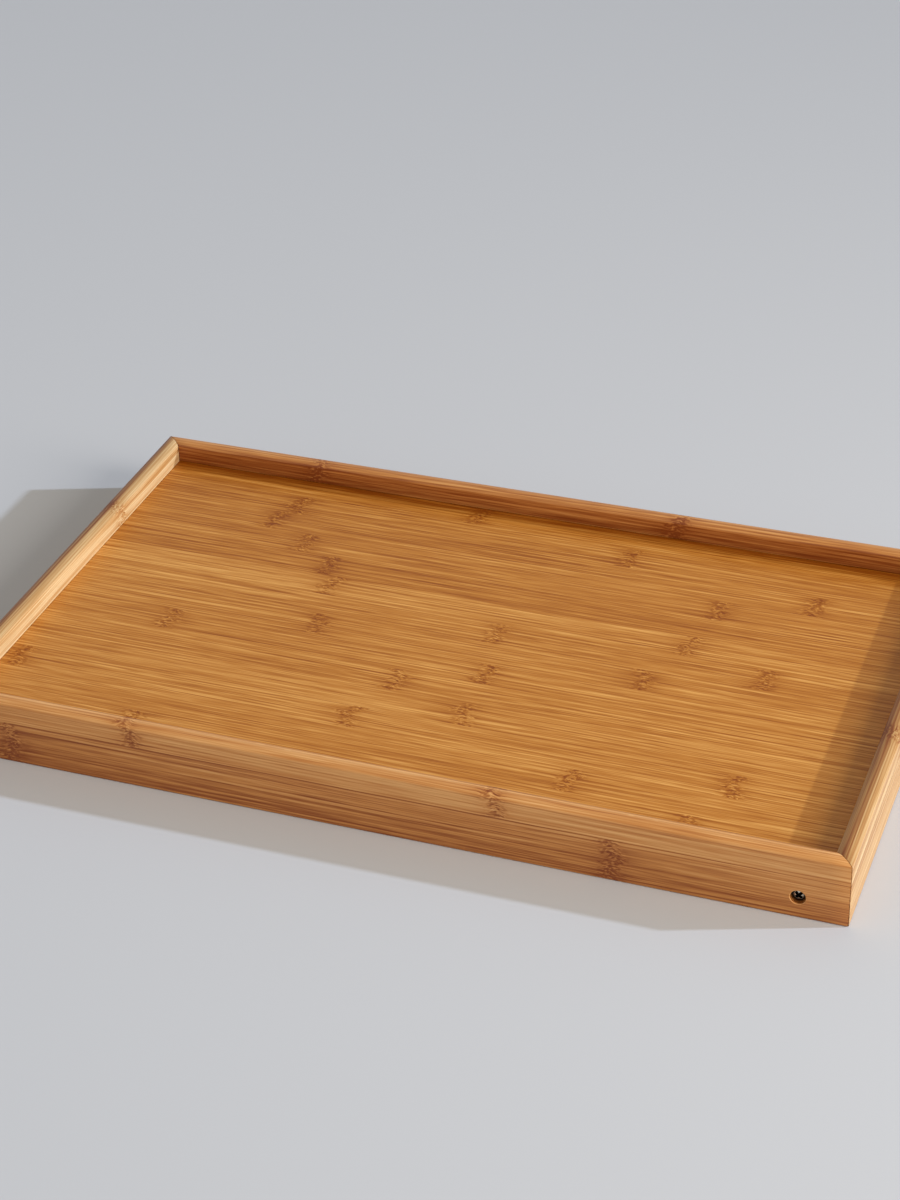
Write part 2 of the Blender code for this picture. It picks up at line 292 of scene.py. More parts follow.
class ShaderSheet(NodeSheet):
    """A material that is written as expressions."""

    def __init__(self, name: str) -> None:
        """Make a new material with one Principled shader.

        Args:
            name: The material's name.
        """
        self.material = bpy.data.materials.new(name)
        self.material.use_nodes = True
        super().__init__(self.material.node_tree)
        self.shader = self.tree.nodes["Principled BSDF"]

    def place(self) -> Signal:
        """The point being shaded, in metres on the piece at rest."""
        return self.signal("ShaderNodeTexCoord", output="Object")

    def attribute(self, name: str) -> Signal:
        """A value that the mesh carries."""
        return self.signal("ShaderNodeAttribute", {"attribute_name": name}, output="Fac")

    def noise(self, where: Signal, streaks: Streaks) -> Signal:
        """Soft noise about 0.

        Args:
            where: The point, as (along the grain, across, across) in metres.
            streaks: The noise's waves, finer layers and strength.

        Returns:
            The noise, from about -0.5 to 0.5 times its strength.
        """
        waves = (streaks.along, streaks.across, streaks.across)
        inputs = {
            "Vector": self.vector_math("MULTIPLY", where, waves),
            "Scale": 1.0,
            "Detail": streaks.detail,
            "Roughness": streaks.roughness,
        }
        level = self.signal("ShaderNodeTexNoise", None, inputs) - 0.5
        return level if streaks.strength == 1.0 else level * streaks.strength

    def chance(self, seed: Signal) -> Signal:
        """A number from 0 to 1 that is random from one value of the seed to the next."""
        return self.signal("ShaderNodeTexWhiteNoise", {"noise_dimensions": "1D"}, {"W": seed})

    def bell(self, value: Signal, width: float) -> Signal:
        """1 where the value is 0, falling to 0 over about this width on either side."""
        share = value / width
        return self.math("EXPONENT", -(share * share))

    def ramp(self, value: Signal, stops: Sequence[tuple[float, Colour]]) -> Signal:
        """The colour that a ramp of (position, colour) stops gives to a value."""
        return self.signal("ShaderNodeValToRGB", {"stops": stops}, {"Fac": value})

    def bump(self, height: Signal, distance: float, strength: float) -> None:
        """Give the shader a fine relief of this height, in metres where the signal is 1."""
        inputs = {"Height": height, "Distance": distance, "Strength": strength}
        self.feed(self.shader.inputs["Normal"], self.signal("ShaderNodeBump", None, inputs))

    def finish(self, colour: Signal, roughness: Signal, **constants: float) -> bpy.types.Material:
        """Feed the shader and return the material.

        Args:
            colour: The base colour.
            roughness: The roughness.
            **constants: Values of other sockets that are the same all over, by name with _ for a space.

        Returns:
            The finished material.
        """
        self.feed(self.shader.inputs["Base Color"], colour)
        self.feed(self.shader.inputs["Roughness"], roughness)
        for name, value in constants.items():
            self.feed(self.shader.inputs[name.replace("_", " ")], value)
        return self.material


@dataclass(frozen=True)
class BambooFinish:
    """Satin lacquered bamboo: fibres along the grain, glued strips, and knots at the stem's joints.

    A piece that wears it carries these values on its mesh: "strip", the number of the strip that a face
    belongs to; "knot_reach", the distance along the grain to that strip's nearest knot; "tone", how much
    lighter or darker the wood is there, which on the rails is mostly painted light and shade and on the
    board partly painted shade; a value for where the wood is paler, which is a painted highlight along the
    front rail's shoulder and wear at the counterbores' mouths; and a value for where it is darkened, which
    is painted shade in the counterbores and saw burn on the mitre faces. Tones run from 0 to 1, and
    ramp_places says where on that way the deep, dark, middle and light colours lie.
    """

    name: str
    grain: Grain
    dark: Colour
    middle: Colour
    light: Colour
    contrast: float = 1.0
    stretch: float = 1.0
    strip_contrast: float = 0.09
    strip_shift: Colour = (3.7, 1.3, 2.1)
    roughness: float = 0.40
    gloss: float = 0.40
    ramp_places: tuple[float, float, float, float] = (0.0, 0.15, 0.5, 0.95)
    relief_depth: float = 0.00010
    relief_strength: float = 0.5
    knot_relief: float = 0.8
    fibre_roughness: float = 0.10
    knot_roughness: float = 0.08
    deep_share: Colour = (0.74, 0.60, 0.50)
    # The colour that the darkened places go to: painted shade in the counterbores, saw burn on the mitre
    # faces.
    burnt: Colour = (0.010, 0.005, 0.002)

    knot_strength: float = 1.0
    knot_width: float = 0.0046
    knot_halo: float = 0.0100
    halo_wander: float = 0.7
    knot_wander: Streaks = Streaks(0.0, 105.0, 0.017, 1.0)
    knot_jag: Streaks = Streaks(60.0, 620.0, 0.010, 1.0)
    knot_flame: Streaks = Streaks(0.0, 380.0, 0.018)
    knot_kink: Streaks = Streaks(120.0, 190.0, detail=1.0)
    kink_reach: float = 0.0075
    strokes: Streaks = Streaks(250.0, 900.0, detail=1.0, roughness=0.6)
    stroke_lean: float = 0.30
    stroke_edges: Point2 = (-0.085, 0.085)
    stroke_level: float = 0.72
    stroke_tone: float = 0.46
    halo_tone: float = 0.15

    grain_drift: Streaks = Streaks(5.0, 22.0, 0.0012, 1.0)
    broad: Streaks = Streaks(3.0, 58.0, 0.23, 1.0)
    long_middle: Streaks = Streaks(3.5, 200.0, 0.10)
    short_middle: Streaks = Streaks(22.0, 260.0, 0.08)
    long_fine: Streaks = Streaks(5.0, 680.0)
    long_fine_edges: Point2 = (-0.10, 0.10)
    long_fine_tone: float = 0.13
    short_fine: Streaks = Streaks(20.0, 1150.0, 0.90)
    flecks: Streaks = Streaks(60.0, 1500.0, 0.80, 1.0, 0.7)
    fine_level: float = 0.05

    growth_lines_per_metre: float = 250.0
    growth_drift: Streaks = Streaks(5.0, 55.0, 4.0, 1.0)
    growth_crowd: Streaks = Streaks(4.0, 62.0)
    growth_edges: Point2 = (0.01, 0.12)
    growth_width: float = 0.13
    growth_tone: float = 0.25
    brown_lines: Streaks = Streaks(5.0, 330.0)
    brown_level: float = 0.02
    brown_width: float = 0.014
    brown_crowd: Streaks = Streaks(3.5, 80.0)
    brown_edges: Point2 = (-0.04, 0.14)
    brown_tone: float = 0.20

    nicks: Streaks = Streaks(150.0, 700.0)
    nick_edges: Point2 = (0.17, 0.21)
    nick_tone: float = 0.5
    # How much paler the painted highlight on the front rail's shoulder and the worn counterbore mouths
    # are.
    wear_tone: float = 0.36
    ply_joint: float = 0.0
    ply_step: float = 0.0
    ply_blend: float = 0.0003
    glue_width: float = 0.00026
    glue_tone: float = 0.42
    glow_place: float = 0.0009
    glow_width: float = 0.0005
    glow_tone: float = 0.10
    # How much darker the wood grows towards the foot, and over what heights.
    foot_shade: float = 0.0
    foot_reach: Point2 = (-0.004, 0.030)
    # Painted shade on the board next to the rails, where their shadow lies along its edges.
    edge_shade: float = 0.0
    edge_reach: Point2 = (0.1295, 0.1395)

    def _grain_place(self, sheet: ShaderSheet) -> Signal:
        """The point as (along the grain, across, across), in metres."""
        x, y, z = sheet.separate(sheet.place())
        return sheet.combine(x, y, z) if self.grain is Grain.LENGTHWISE else sheet.combine(y, x, z)

    def _knots(self, sheet: ShaderSheet, place: Signal) -> tuple[Signal, Signal]:
        """The knots: the band that each one fills, and the tone that it adds.

        Args:
            sheet: The material.
            place: The point, as (along the grain, across, across) in metres.

        Returns:
            The band, which is 1 on a knot and 0 away from it, and the tone.
        """
        reach = sheet.attribute("knot_reach")
        wander = sheet.noise(place, self.knot_wander)
        jag = sheet.noise(place, self.knot_jag)
        band = sheet.bell(reach + wander + jag, self.knot_width)
        flame = sheet.noise(place, self.knot_flame)
        halo = sheet.bell(reach + wander * self.halo_wander + flame, self.knot_halo)
        along, across, depth = sheet.separate(place)
        lean = abs(reach + wander) * self.stroke_lean
        leaning = sheet.combine(along, across + lean, depth + lean)
        strokes = sheet.rise(sheet.noise(leaning, self.strokes), *self.stroke_edges) - self.stroke_level
        return band, (band * strokes * self.stroke_tone - halo * self.halo_tone) * self.knot_strength

    def _growth_lines(self, sheet: ShaderSheet, fibre: Signal) -> Signal:
        """Groups of thin pale lines, side by side along the grain.

        Args:
            sheet: The material.
            fibre: The point on the fibres, as (along the grain, across, across) in metres.

        Returns:
            1 on a line and 0 beside it.
        """
        _, across, depth = sheet.separate(fibre)
        drift = sheet.noise(fibre, self.growth_drift)
        phase = sheet.math("PINGPONG", (across + depth) * self.growth_lines_per_metre + drift, 0.5)
        crowd = sheet.rise(sheet.noise(fibre, self.growth_crowd), *self.growth_edges)
        return sheet.bell(phase, self.growth_width) * crowd

    def _fibre_place(self, sheet: ShaderSheet, place: Signal, band: Signal) -> Signal:
        """The point on the fibres, which drift a little and kink at the knots.

        Args:
            sheet: The material.
            place: The point, as (along the grain, across, across) in metres.
            band: The band that each knot fills.

        Returns:
            The point, moved across the grain and drawn out along it.
        """
        along, across, depth = sheet.separate(place)
        drift = sheet.noise(place, self.grain_drift)
        offset = drift + sheet.noise(place, self.knot_kink) * band * self.kink_reach
        return sheet.combine(along / self.stretch, across + offset, depth + offset)

    def _fibres(self, sheet: ShaderSheet, fibre: Signal) -> tuple[Signal, Signal]:
        """The fibres: their tone, and the part of it that also stands out as relief.

        Args:
            sheet: The material.
            fibre: The point on the fibres, as (along the grain, across, across) in metres.

        Returns:
            The tone and the relief.
        """
        broad = sheet.noise(fibre, self.broad)
        long_middle = sheet.noise(fibre, self.long_middle)
        short_middle = sheet.noise(fibre, self.short_middle)
        long_fine = sheet.rise(sheet.noise(fibre, self.long_fine), *self.long_fine_edges)
        short_fine = sheet.noise(fibre, self.short_fine)
        flecks = sheet.noise(fibre, self.flecks)
        crowd = sheet.rise(sheet.noise(fibre, self.brown_crowd), *self.brown_edges)
        level = sheet.noise(fibre, self.brown_lines) + self.brown_level
        brown = sheet.bell(level, self.brown_width) * crowd
        lines = self._growth_lines(sheet, fibre) * self.growth_tone - brown * self.brown_tone
        fine = long_fine * self.long_fine_tone + short_fine + flecks - self.fine_level
        return broad + long_middle + short_middle + fine + lines, fine + lines

    def _with_shades(self, sheet: ShaderSheet, place: Signal, tone: Signal) -> Signal:
        """The tone, darker towards the foot, with painted shade along the board's edges next to the rails,
        and with the step, glue line and pale line of the ply joint.

        Args:
            sheet: The material.
            place: The point on the piece itself, as (along the grain, across, height) in metres.
            tone: The tone without them.

        Returns:
            The tone with them.
        """
        _, across, height = sheet.separate(place)
        # Darker towards the foot.
        if self.foot_shade:
            tone = tone - (1.0 - sheet.rise(height, *self.foot_reach)) * self.foot_shade
        # Painted shade along the board's edges next to the rails.
        if self.edge_shade:
            tone = tone - sheet.rise(abs(across), *self.edge_reach) * self.edge_shade
        if self.ply_joint:
            step = sheet.rise(height, self.ply_joint - self.ply_blend, self.ply_joint + self.ply_blend)
            above = height - self.ply_joint
            tone = tone + step * self.ply_step - sheet.bell(above, self.glue_width) * self.glue_tone
            tone = tone + sheet.bell(above - self.glow_place, self.glow_width) * self.glow_tone
        return tone

    def build(self) -> bpy.types.Material:
        """Make the material.

        Returns:
            The material.
        """
        sheet = ShaderSheet(self.name)
        strip = sheet.attribute("strip")
        own_place = self._grain_place(sheet)
        shift = sheet.combine(*(strip * step for step in self.strip_shift))
        place = sheet.vector_math("ADD", own_place, shift)
        band, knot_tone = self._knots(sheet, place)
        fibre_tone, relief = self._fibres(sheet, self._fibre_place(sheet, place, band))

        # The mesh's tone: mostly painted light and shade on the rails, and partly painted shade on the
        # board's far strips.
        tone = fibre_tone * self.contrast + knot_tone + sheet.attribute("tone")
        tone = tone + (sheet.chance(strip) - 0.5) * self.strip_contrast + 0.5
        # Paler where the mesh says so: a painted highlight on the front rail's shoulder, and worn
        # counterbore mouths.
        nicks = sheet.rise(sheet.noise(place, self.nicks), *self.nick_edges)
        tone = tone + sheet.attribute("wear") * (nicks * self.nick_tone + self.wear_tone)
        tone = self._with_shades(sheet, own_place, tone)

        deep = tuple(channel * share for channel, share in zip(self.dark, self.deep_share))
        stops = tuple(zip(self.ramp_places, (deep, self.dark, self.middle, self.light)))
        # Darkened where the mesh says so: painted shade in the counterbores, saw burn on the mitre faces.
        colour = sheet.tint(sheet.ramp(tone, stops), self.burnt, sheet.attribute("burn"))
        sheet.bump(relief + knot_tone * self.knot_relief, self.relief_depth, self.relief_strength)
        roughness = relief * self.fibre_roughness + band * self.knot_roughness + self.roughness
        return sheet.finish(colour, roughness, Specular_IOR_Level=self.gloss)


@dataclass(frozen=True)
class PlatedSteelFinish:
    """Bright zinc plate with painted shade: the cross recess dark, and the head darker towards its rim,
    where the gap round it lies in shade, as a value on the mesh says.
    """

    name: str
    colour: Colour
    sheen: Colour = (0.9, 0.88, 0.8)
    sheen_share: float = 0.1
    # The colour of the painted shade in the recess and at the head's rim.
    grime: Colour = (0.012, 0.010, 0.008)
    roughness: float = 0.42
    grime_roughness: float = 0.4
    mottle: Streaks = Streaks(900.0, 900.0, detail=2.0)
    mottle_roughness: float = 0.2

    def build(self) -> bpy.types.Material:
        """Make the material.

        Returns:
            The material.
        """
        sheet = ShaderSheet(self.name)
        mottle = sheet.noise(sheet.place(), self.mottle)
        # Painted shade in the recess and round the head's rim, read from the mesh.
        grime = sheet.attribute("grime")
        bright = sheet.tint(self.colour, self.sheen, self.sheen_share)
        colour = sheet.tint(bright, self.grime, grime)
        roughness = mottle * self.mottle_roughness + grime * self.grime_roughness + self.roughness
        return sheet.finish(colour, roughness, Metallic=1.0)


def mesh_from(
    points: Sequence[Sequence[float]],
    faces: Sequence[Sequence[int]],
    name: str,
) -> bpy.types.Mesh:
    """A mesh from its points and faces, with its doubles merged and its faces turned outwards.

    Args:
        points: The corners.
        faces: The corners of each face, by number.
        name: The mesh's name.

    Returns:
        The new mesh.
    """
    mesh = bpy.data.meshes.new(name)
    mesh.from_pydata([tuple(p) for p in points], [], [tuple(f) for f in faces])
    tidy_mesh(mesh)
    return mesh


def tidy_mesh(mesh: bpy.types.Mesh, merge: float = 1e-6) -> None:
    """Merge a mesh's doubles and turn its faces outwards.

    Args:
        mesh: The mesh.
        merge: How near to each other doubles lie.
    """
    edit = bmesh.new()
    edit.from_mesh(mesh)
    bmesh.ops.remove_doubles(edit, verts=edit.verts, dist=merge)
    bmesh.ops.dissolve_degenerate(edit, edges=edit.edges, dist=merge)
    bmesh.ops.recalc_face_normals(edit, faces=edit.faces)
    edit.to_mesh(mesh)
    edit.free()


def new_object(name: str, mesh: bpy.types.Mesh) -> bpy.types.Object:
    """A new object in the scene with this mesh, at the origin.

    Args:
        name: Its name.
        mesh: Its mesh.

    Returns:
        The object.
    """
    obj = bpy.data.objects.new(name, mesh)
    bpy.context.scene.collection.objects.link(obj)
    return obj


def settle(obj: bpy.types.Object) -> bpy.types.Object:
    """Turn an object's modifiers into its plain mesh.

    Args:
        obj: An object with modifiers.

    Returns:
        The same object with the evaluated mesh and no modifiers.
    """
    graph = bpy.context.evaluated_depsgraph_get()
    mesh = bpy.data.meshes.new_from_object(obj.evaluated_get(graph))
    mesh.name = obj.name
    obj.modifiers.clear()
    obj.data = mesh
    return obj


def carve(obj: bpy.types.Object, cutters: Iterable[bpy.types.Object]) -> bpy.types.Object:
    """Take the cutters' shapes out of an object, and remove the cutters.

    Args:
        obj: The object that is cut.
        cutters: Closed shapes.

    Returns:
        The cut object, with a plain mesh.
    """
    tools = list(cutters)
    for tool in tools:
        modifier = obj.modifiers.new(tool.name, "BOOLEAN")
        modifier.operation = "DIFFERENCE"
        modifier.object = tool
    settle(obj)
    for tool in tools:
        bpy.data.objects.remove(tool)
    return obj


def ease_edges(
    obj: bpy.types.Object,
    width: float,
    segments: int = 2,
    angle: float = 40.0,
) -> bpy.types.Object:
    """Round every edge that is sharper than an angle.

    Args:
        obj: The object.
        width: How far each edge is rounded back.
        segments: The number of faces across a rounded edge.
        angle: The least angle that counts as an edge, in degrees.

    Returns:
        The same object, with a plain mesh.
    """
    bevel = obj.modifiers.new("ease", "BEVEL")
    bevel.width = width
    bevel.segments = segments
    bevel.limit_method = "ANGLE"
    bevel.angle_limit = math.radians(angle)
    bevel.harden_normals = False
    return settle(obj)


def shade(mesh: bpy.types.Mesh, angle: float = 28.0) -> None:
    """Smooth shading that keeps the edges sharper than this many degrees."""
    mesh.shade_smooth()
    mesh.set_sharp_from_angle(angle=math.radians(angle))


def arc(centre: Point2, radius: float, start: float, end: float, steps: int) -> list[Point2]:
    """Points on an arc from one angle to another, in radians, both ends included."""
    angles = [start + (end - start) * i / steps for i in range(steps + 1)]
    return [(centre[0] + radius * math.cos(a), centre[1] + radius * math.sin(a)) for a in angles]


def turned(name: str, profile: Sequence[Point2], steps: int, ring: bool = False) -> bpy.types.Mesh:
    """A profile turned about Z.

    Args:
        name: The mesh's name.
        profile: Points of (radius, height). Without a ring, the first and the last lie on the axis.
        steps: The number of steps round the axis.
        ring: True if the profile closes on itself, away from the axis.

    Returns:
        A closed mesh.
    """
    count = len(profile)
    angles = [math.tau * i / steps for i in range(steps)]
    points = [(r * math.cos(a), r * math.sin(a), z) for a in angles for r, z in profile]
    rows = range(count) if ring else range(count - 1)
    faces = []
    for i in range(steps):
        near, far = i * count, (i + 1) % steps * count
        faces += [(near + j, far + j, far + (j + 1) % count, near + (j + 1) % count) for j in rows]
    return mesh_from(points, faces, name)


def prism(name: str, outline: Sequence[Point2], low: float, high: float) -> bpy.types.Mesh:
    """An outline in X and Z, extruded along Y.

    Args:
        name: The mesh's name.
        outline: Points of (x, z) in order round the outline.
        low: The lower end along Y.
        high: The higher end along Y.

    Returns:
        A closed mesh.
    """
    count = len(outline)
    points = [(x, y, z) for y in (low, high) for x, z in outline]
    sides = [(i, (i + 1) % count, count + (i + 1) % count, count + i) for i in range(count)]
    ends = [tuple(range(count)), tuple(range(count, 2 * count))]
    return mesh_from(points, sides + ends, name)


class Recipe(NodeSheet):
    """A Geometry Nodes tree with named inputs, which ends in Realize Instances and Set Material."""

    def __init__(self, name: str) -> None:
        """Start an empty tree.

        Args:
            name: The tree's name.
        """
        super().__init__(bpy.data.node_groups.new(name, "GeometryNodeTree"))
        self.inlet = self.add("NodeGroupInput")
        self.sockets: dict[str, str] = {}

    def parameter(self, name: str, kind: str = "NodeSocketFloat") -> Signal:
        """Add a named input of the tree.

        Args:
            name: Its name.
            kind: Its socket type.

        Returns:
            The signal that it gives inside the tree.
        """
        socket = self.tree.interface.new_socket(name=name, in_out="INPUT", socket_type=kind)
        self.sockets[name] = socket.identifier
        return Signal(self, self.inlet.outputs[name])

    def close(self, geometry: Signal) -> None:
        """End the tree: instances made real, the material set, and the result handed out.

        Args:
            geometry: What the tree has made.
        """
        material = self.parameter("Material", "NodeSocketMaterial")
        real = self.signal("GeometryNodeRealizeInstances", None, {0: geometry})
        dressed = self.signal("GeometryNodeSetMaterial", None, {"Geometry": real, "Material": material})
        self.tree.interface.new_socket(name="Geometry", in_out="OUTPUT", socket_type="NodeSocketGeometry")
        self.add("NodeGroupOutput", None, {0: dressed})

    def make(self, name: str, base: bpy.types.Mesh, values: dict[str, object]) -> bpy.types.Object:
        """Run the tree on a mesh.

        Args:
            name: The new object's name.
            base: The mesh that the tree starts from.
            values: The values of its named inputs.

        Returns:
            A new object with the result as a plain mesh.
        """
        obj = new_object(name, base)
        modifier = obj.modifiers.new("recipe", "NODES")
        modifier.node_group = self.tree
        for label, value in values.items():
            modifier[self.sockets[label]] = value
        settle(obj)
        tidy_mesh(obj.data)
        return obj


def write_values(mesh: bpy.types.Mesh, name: str, domain: str, values: np.ndarray) -> None:
    """Write one number for each point, face or corner of a mesh, for the finishes to read."""
    layer = mesh.attributes.new(name, "FLOAT", domain)
    layer.data.foreach_set("value", values.astype(np.float32))


def points_of(mesh: bpy.types.Mesh) -> np.ndarray:
    """The mesh's vertices as rows of x, y and z.

    Args:
        mesh: The mesh.

    Returns:
        One row for each vertex.
    """
    spots = np.zeros(len(mesh.vertices) * 3)
    mesh.vertices.foreach_get("co", spots)
    return spots.reshape(-1, 3)


def at_corners(mesh: bpy.types.Mesh, values: np.ndarray) -> np.ndarray:
    """The values of a mesh's points, taken to every corner of its faces.

    Args:
        mesh: The mesh.
        values: One value for each point.

    Returns:
        One value for each corner.
    """
    owners = np.zeros(len(mesh.loops), int)
    mesh.loops.foreach_get("vertex_index", owners)
    return values[owners]


def ramp_up(values: np.ndarray, low: float, high: float) -> np.ndarray:
    """A smooth rise of the values from 0 at low to 1 at high."""
    share = np.clip((values - low) / (high - low), 0, 1)
    return share * share * (3 - 2 * share)


@dataclass(frozen=True)
class GrainMap:
    """Where a piece's strips and knots lie, and how light the strips are, for its bamboo finish.

    The strips lie side by side along one axis, from a first joint on. Knots are given for each strip as
    places along the grain. A strip without any gets one at a place that its number picks.
    """

    along: int
    across: int
    first_joint: float = 0.0
    pitch: float = 0.020
    knots: dict[int, Sequence[float]] = field(default_factory=dict)
    seed: int = 1
    seed_step: int = 1000
    seed_start: int = 500
    spare_span: Point2 = (-0.20, 0.20)
    spare_pitch: Point2 = (0.19, 0.31)
    second_face: int = 40
    facing_down: float = -0.9
    shades: dict[int, float] = field(default_factory=dict)

    def _strips(self, centres: np.ndarray, normals: np.ndarray) -> np.ndarray:
        """The strip number of each face. A board's underside is another layer, so its strips are others.

        Args:
            centres: The middle of each face.
            normals: The direction of each face.

        Returns:
            The strip's number for each face.
        """
        strips = np.floor((centres[:, self.across] - self.first_joint) / self.pitch)
        below = (normals[:, 2] < self.facing_down) & (self.across == 1)
        return (strips + below * self.second_face).astype(int)

    def _knots_of(self, strip: int) -> np.ndarray:
        """The knots of one strip, along the grain.

        Args:
            strip: The strip's number.

        Returns:
            The knots' places along the grain.
        """
        if strip in self.knots:
            return np.array(self.knots[strip], float)
        rng = np.random.default_rng(self.seed * self.seed_step + strip + self.seed_start)
        first = rng.uniform(*self.spare_span)
        step = rng.uniform(*self.spare_pitch)
        return np.array([first - step, first, first + step])

    def apply(self, mesh: bpy.types.Mesh) -> None:
        """Write the strip numbers and the distances to the nearest knots on the mesh.

        Args:
            mesh: The piece's mesh.
        """
        count = len(mesh.polygons)
        centres = np.array([p.center for p in mesh.polygons]).reshape(count, 3)
        normals = np.array([p.normal for p in mesh.polygons]).reshape(count, 3)
        strips = self._strips(centres, normals)
        along = points_of(mesh)[:, self.along]
        nearest = np.zeros(count)
        for strip in np.unique(strips):
            knots = self._knots_of(int(strip))
            chosen = strips == strip
            reach = np.abs(centres[chosen, self.along][:, None] - knots[None, :])
            nearest[chosen] = knots[reach.argmin(1)]
        reaches = np.zeros(len(mesh.loops))
        for polygon in mesh.polygons:
            for corner in polygon.loop_indices:
                reaches[corner] = along[mesh.loops[corner].vertex_index] - nearest[polygon.index]
        if self.shades:
            write_values(mesh, "tone", "FACE", np.array([self.shades.get(strip, 0.0) for strip in strips]))
        write_values(mesh, "strip", "FACE", strips)
        write_values(mesh, "knot_reach", "CORNER", reaches)


def dress(
    obj: bpy.types.Object,
    material: bpy.types.Material,
    body: str,
    node: str,
) -> bpy.types.Object:
    """Finish a piece: its material, the body that it rides on and the solid that it stands for.

    Args:
        obj: The piece.
        material: Its material.
        body: The body that it moves with.
        node: The solid that it replaces.

    Returns:
        The same piece.
    """
    obj.data.materials.clear()
    obj.data.materials.append(material)
    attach(obj, body)
    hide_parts(node)
    return obj


class Finishes:
    """The materials of the tray, each made once."""

    def __init__(self) -> None:
        """Build every finish."""
        self.long_rail = BambooFinish(
            "bamboo_long_rail",
            Grain.LENGTHWISE,
            dark=paint(152, 84, 34),
            middle=paint(197, 131, 67),
            light=paint(228, 172, 108),
            contrast=0.77,
            stretch=1.5,
            ply_joint=PLY_JOINT,
            ply_step=0.12,
            foot_shade=0.30,
        ).build()
        self.short_rail = BambooFinish(
            "bamboo_short_rail",
            Grain.CROSSWISE,
            dark=paint(144, 84, 36),
            middle=paint(182, 135, 80),
            light=paint(216, 186, 138),
            contrast=0.82,
            stretch=2.5,
            gloss=0.38,
            knot_strength=0.8,
            ply_joint=PLY_JOINT,
            ply_step=0.10,
        ).build()
        self.panel = BambooFinish(
            "bamboo_panel",
            Grain.LENGTHWISE,
            dark=paint(156, 86, 14),
            middle=paint(189, 121, 44),
            light=paint(226, 165, 87),
            contrast=0.89,
            stretch=1.2,
            gloss=0.27,
            # Painted shade along the board's edges next to the rails.
            edge_shade=0.34,
        ).build()
        leg = BambooFinish(
            "bamboo_leg",
            Grain.LENGTHWISE,
            dark=paint(150, 90, 40),
            middle=paint(192, 130, 66),
            light=paint(222, 168, 102),
        )
        self.leg = leg.build()
        self.crosspiece = replace(leg, name="bamboo_crosspiece", grain=Grain.CROSSWISE).build()
        self.steel = PlatedSteelFinish("plated_steel", paint(214, 208, 188)).build()


@dataclass
class RailSection:
    """The cross section of the rails, as (distance inwards from the outer face, height)."""

    thickness: float
    height: float
    panel_low: float
    panel_high: float
    groove_depth: float = 0.004
    groove_gap: float = 0.0003
    rim_rise: float = 0.0016
    arris: float = 0.0010
    base_ease: float = 0.0005
    face_step: float = 0.0009
    dome_steps: int = 28
    arris_steps: int = 6

    def rim(self) -> list[Point2]:
        """The rim, from the outer face over the dome to the inner face.

        Returns:
            The points.
        """
        middle = self.thickness / 2
        dome_radius = (middle**2 + self.rim_rise**2) / (2 * self.rim_rise)
        dome_centre = (middle, self.height - dome_radius)
        across = middle - self.arris
        up = math.sqrt((dome_radius - self.arris) ** 2 - across**2)
        lean = math.atan2(up, across)
        spring = dome_centre[1] + up
        outer = arc((self.arris, spring), self.arris, math.pi, math.pi - lean, self.arris_steps)
        dome = arc(dome_centre, dome_radius, math.pi - lean, lean, self.dome_steps)
        inner = arc((self.thickness - self.arris, spring), self.arris, lean, 0, self.arris_steps)
        return outer + dome[1:-1] + inner

    def outline(self) -> list[Point2]:
        """The whole section, with the groove for the panel and a finely divided outer face.

        Returns:
            The points, in order round the section.
        """
        rim = self.rim()
        groove_back = self.thickness - self.groove_depth
        groove_high = self.panel_high + self.groove_gap
        groove_low = self.panel_low - self.groove_gap
        inner = [
            (self.thickness, groove_high),
            (groove_back, groove_high),
            (groove_back, groove_low),
            (self.thickness, groove_low),
            (self.thickness, self.base_ease),
            (self.thickness - self.base_ease, 0),
            (self.base_ease, 0),
        ]
        top = rim[0][1]
        steps = round((top - self.base_ease) / self.face_step)
        outer = [(0, self.base_ease + (top - self.base_ease) * i / steps) for i in range(steps)]
        return rim + inner + outer


class SweepRecipe(Recipe):
    """Sweeps a section along a straight path and mitres both of its ends."""

    def __init__(self) -> None:
        """Build the tree."""
        super().__init__("mitred_rail")
        section = self.parameter("Section", "NodeSocketGeometry")
        length = self.parameter("Length")
        setback = self.parameter("Mitre Setback")
        stations = self.parameter("Stations", "NodeSocketInt")
        half = length / 2.0
        start = self.combine(-half, 0.0, 0.0)
        end = self.combine(half, 0.0, 0.0)
        line = self.signal("GeometryNodeCurvePrimitiveLine", None, {"Start": start, "End": end})
        path = self.signal("GeometryNodeResampleCurve", None, {"Curve": line, "Count": stations})
        loop = self.signal("GeometryNodeMeshToCurve", None, {"Mesh": section})
        inputs = {"Curve": path, "Profile Curve": loop, "Fill Caps": True}
        body = self.signal("GeometryNodeCurveToMesh", None, inputs)
        inputs = {"Geometry": body, "Rotation": (math.pi, 0.0, 0.0)}
        upright = self.signal("GeometryNodeTransform", None, inputs)
        x, y, z = self.separate(self.signal("GeometryNodeInputPosition"))
        mitred = self.combine(x * (1.0 - (y + setback) / half), y, z)
        self.close(self.signal("GeometryNodeSetPosition", None, {"Geometry": upright, "Position": mitred}))


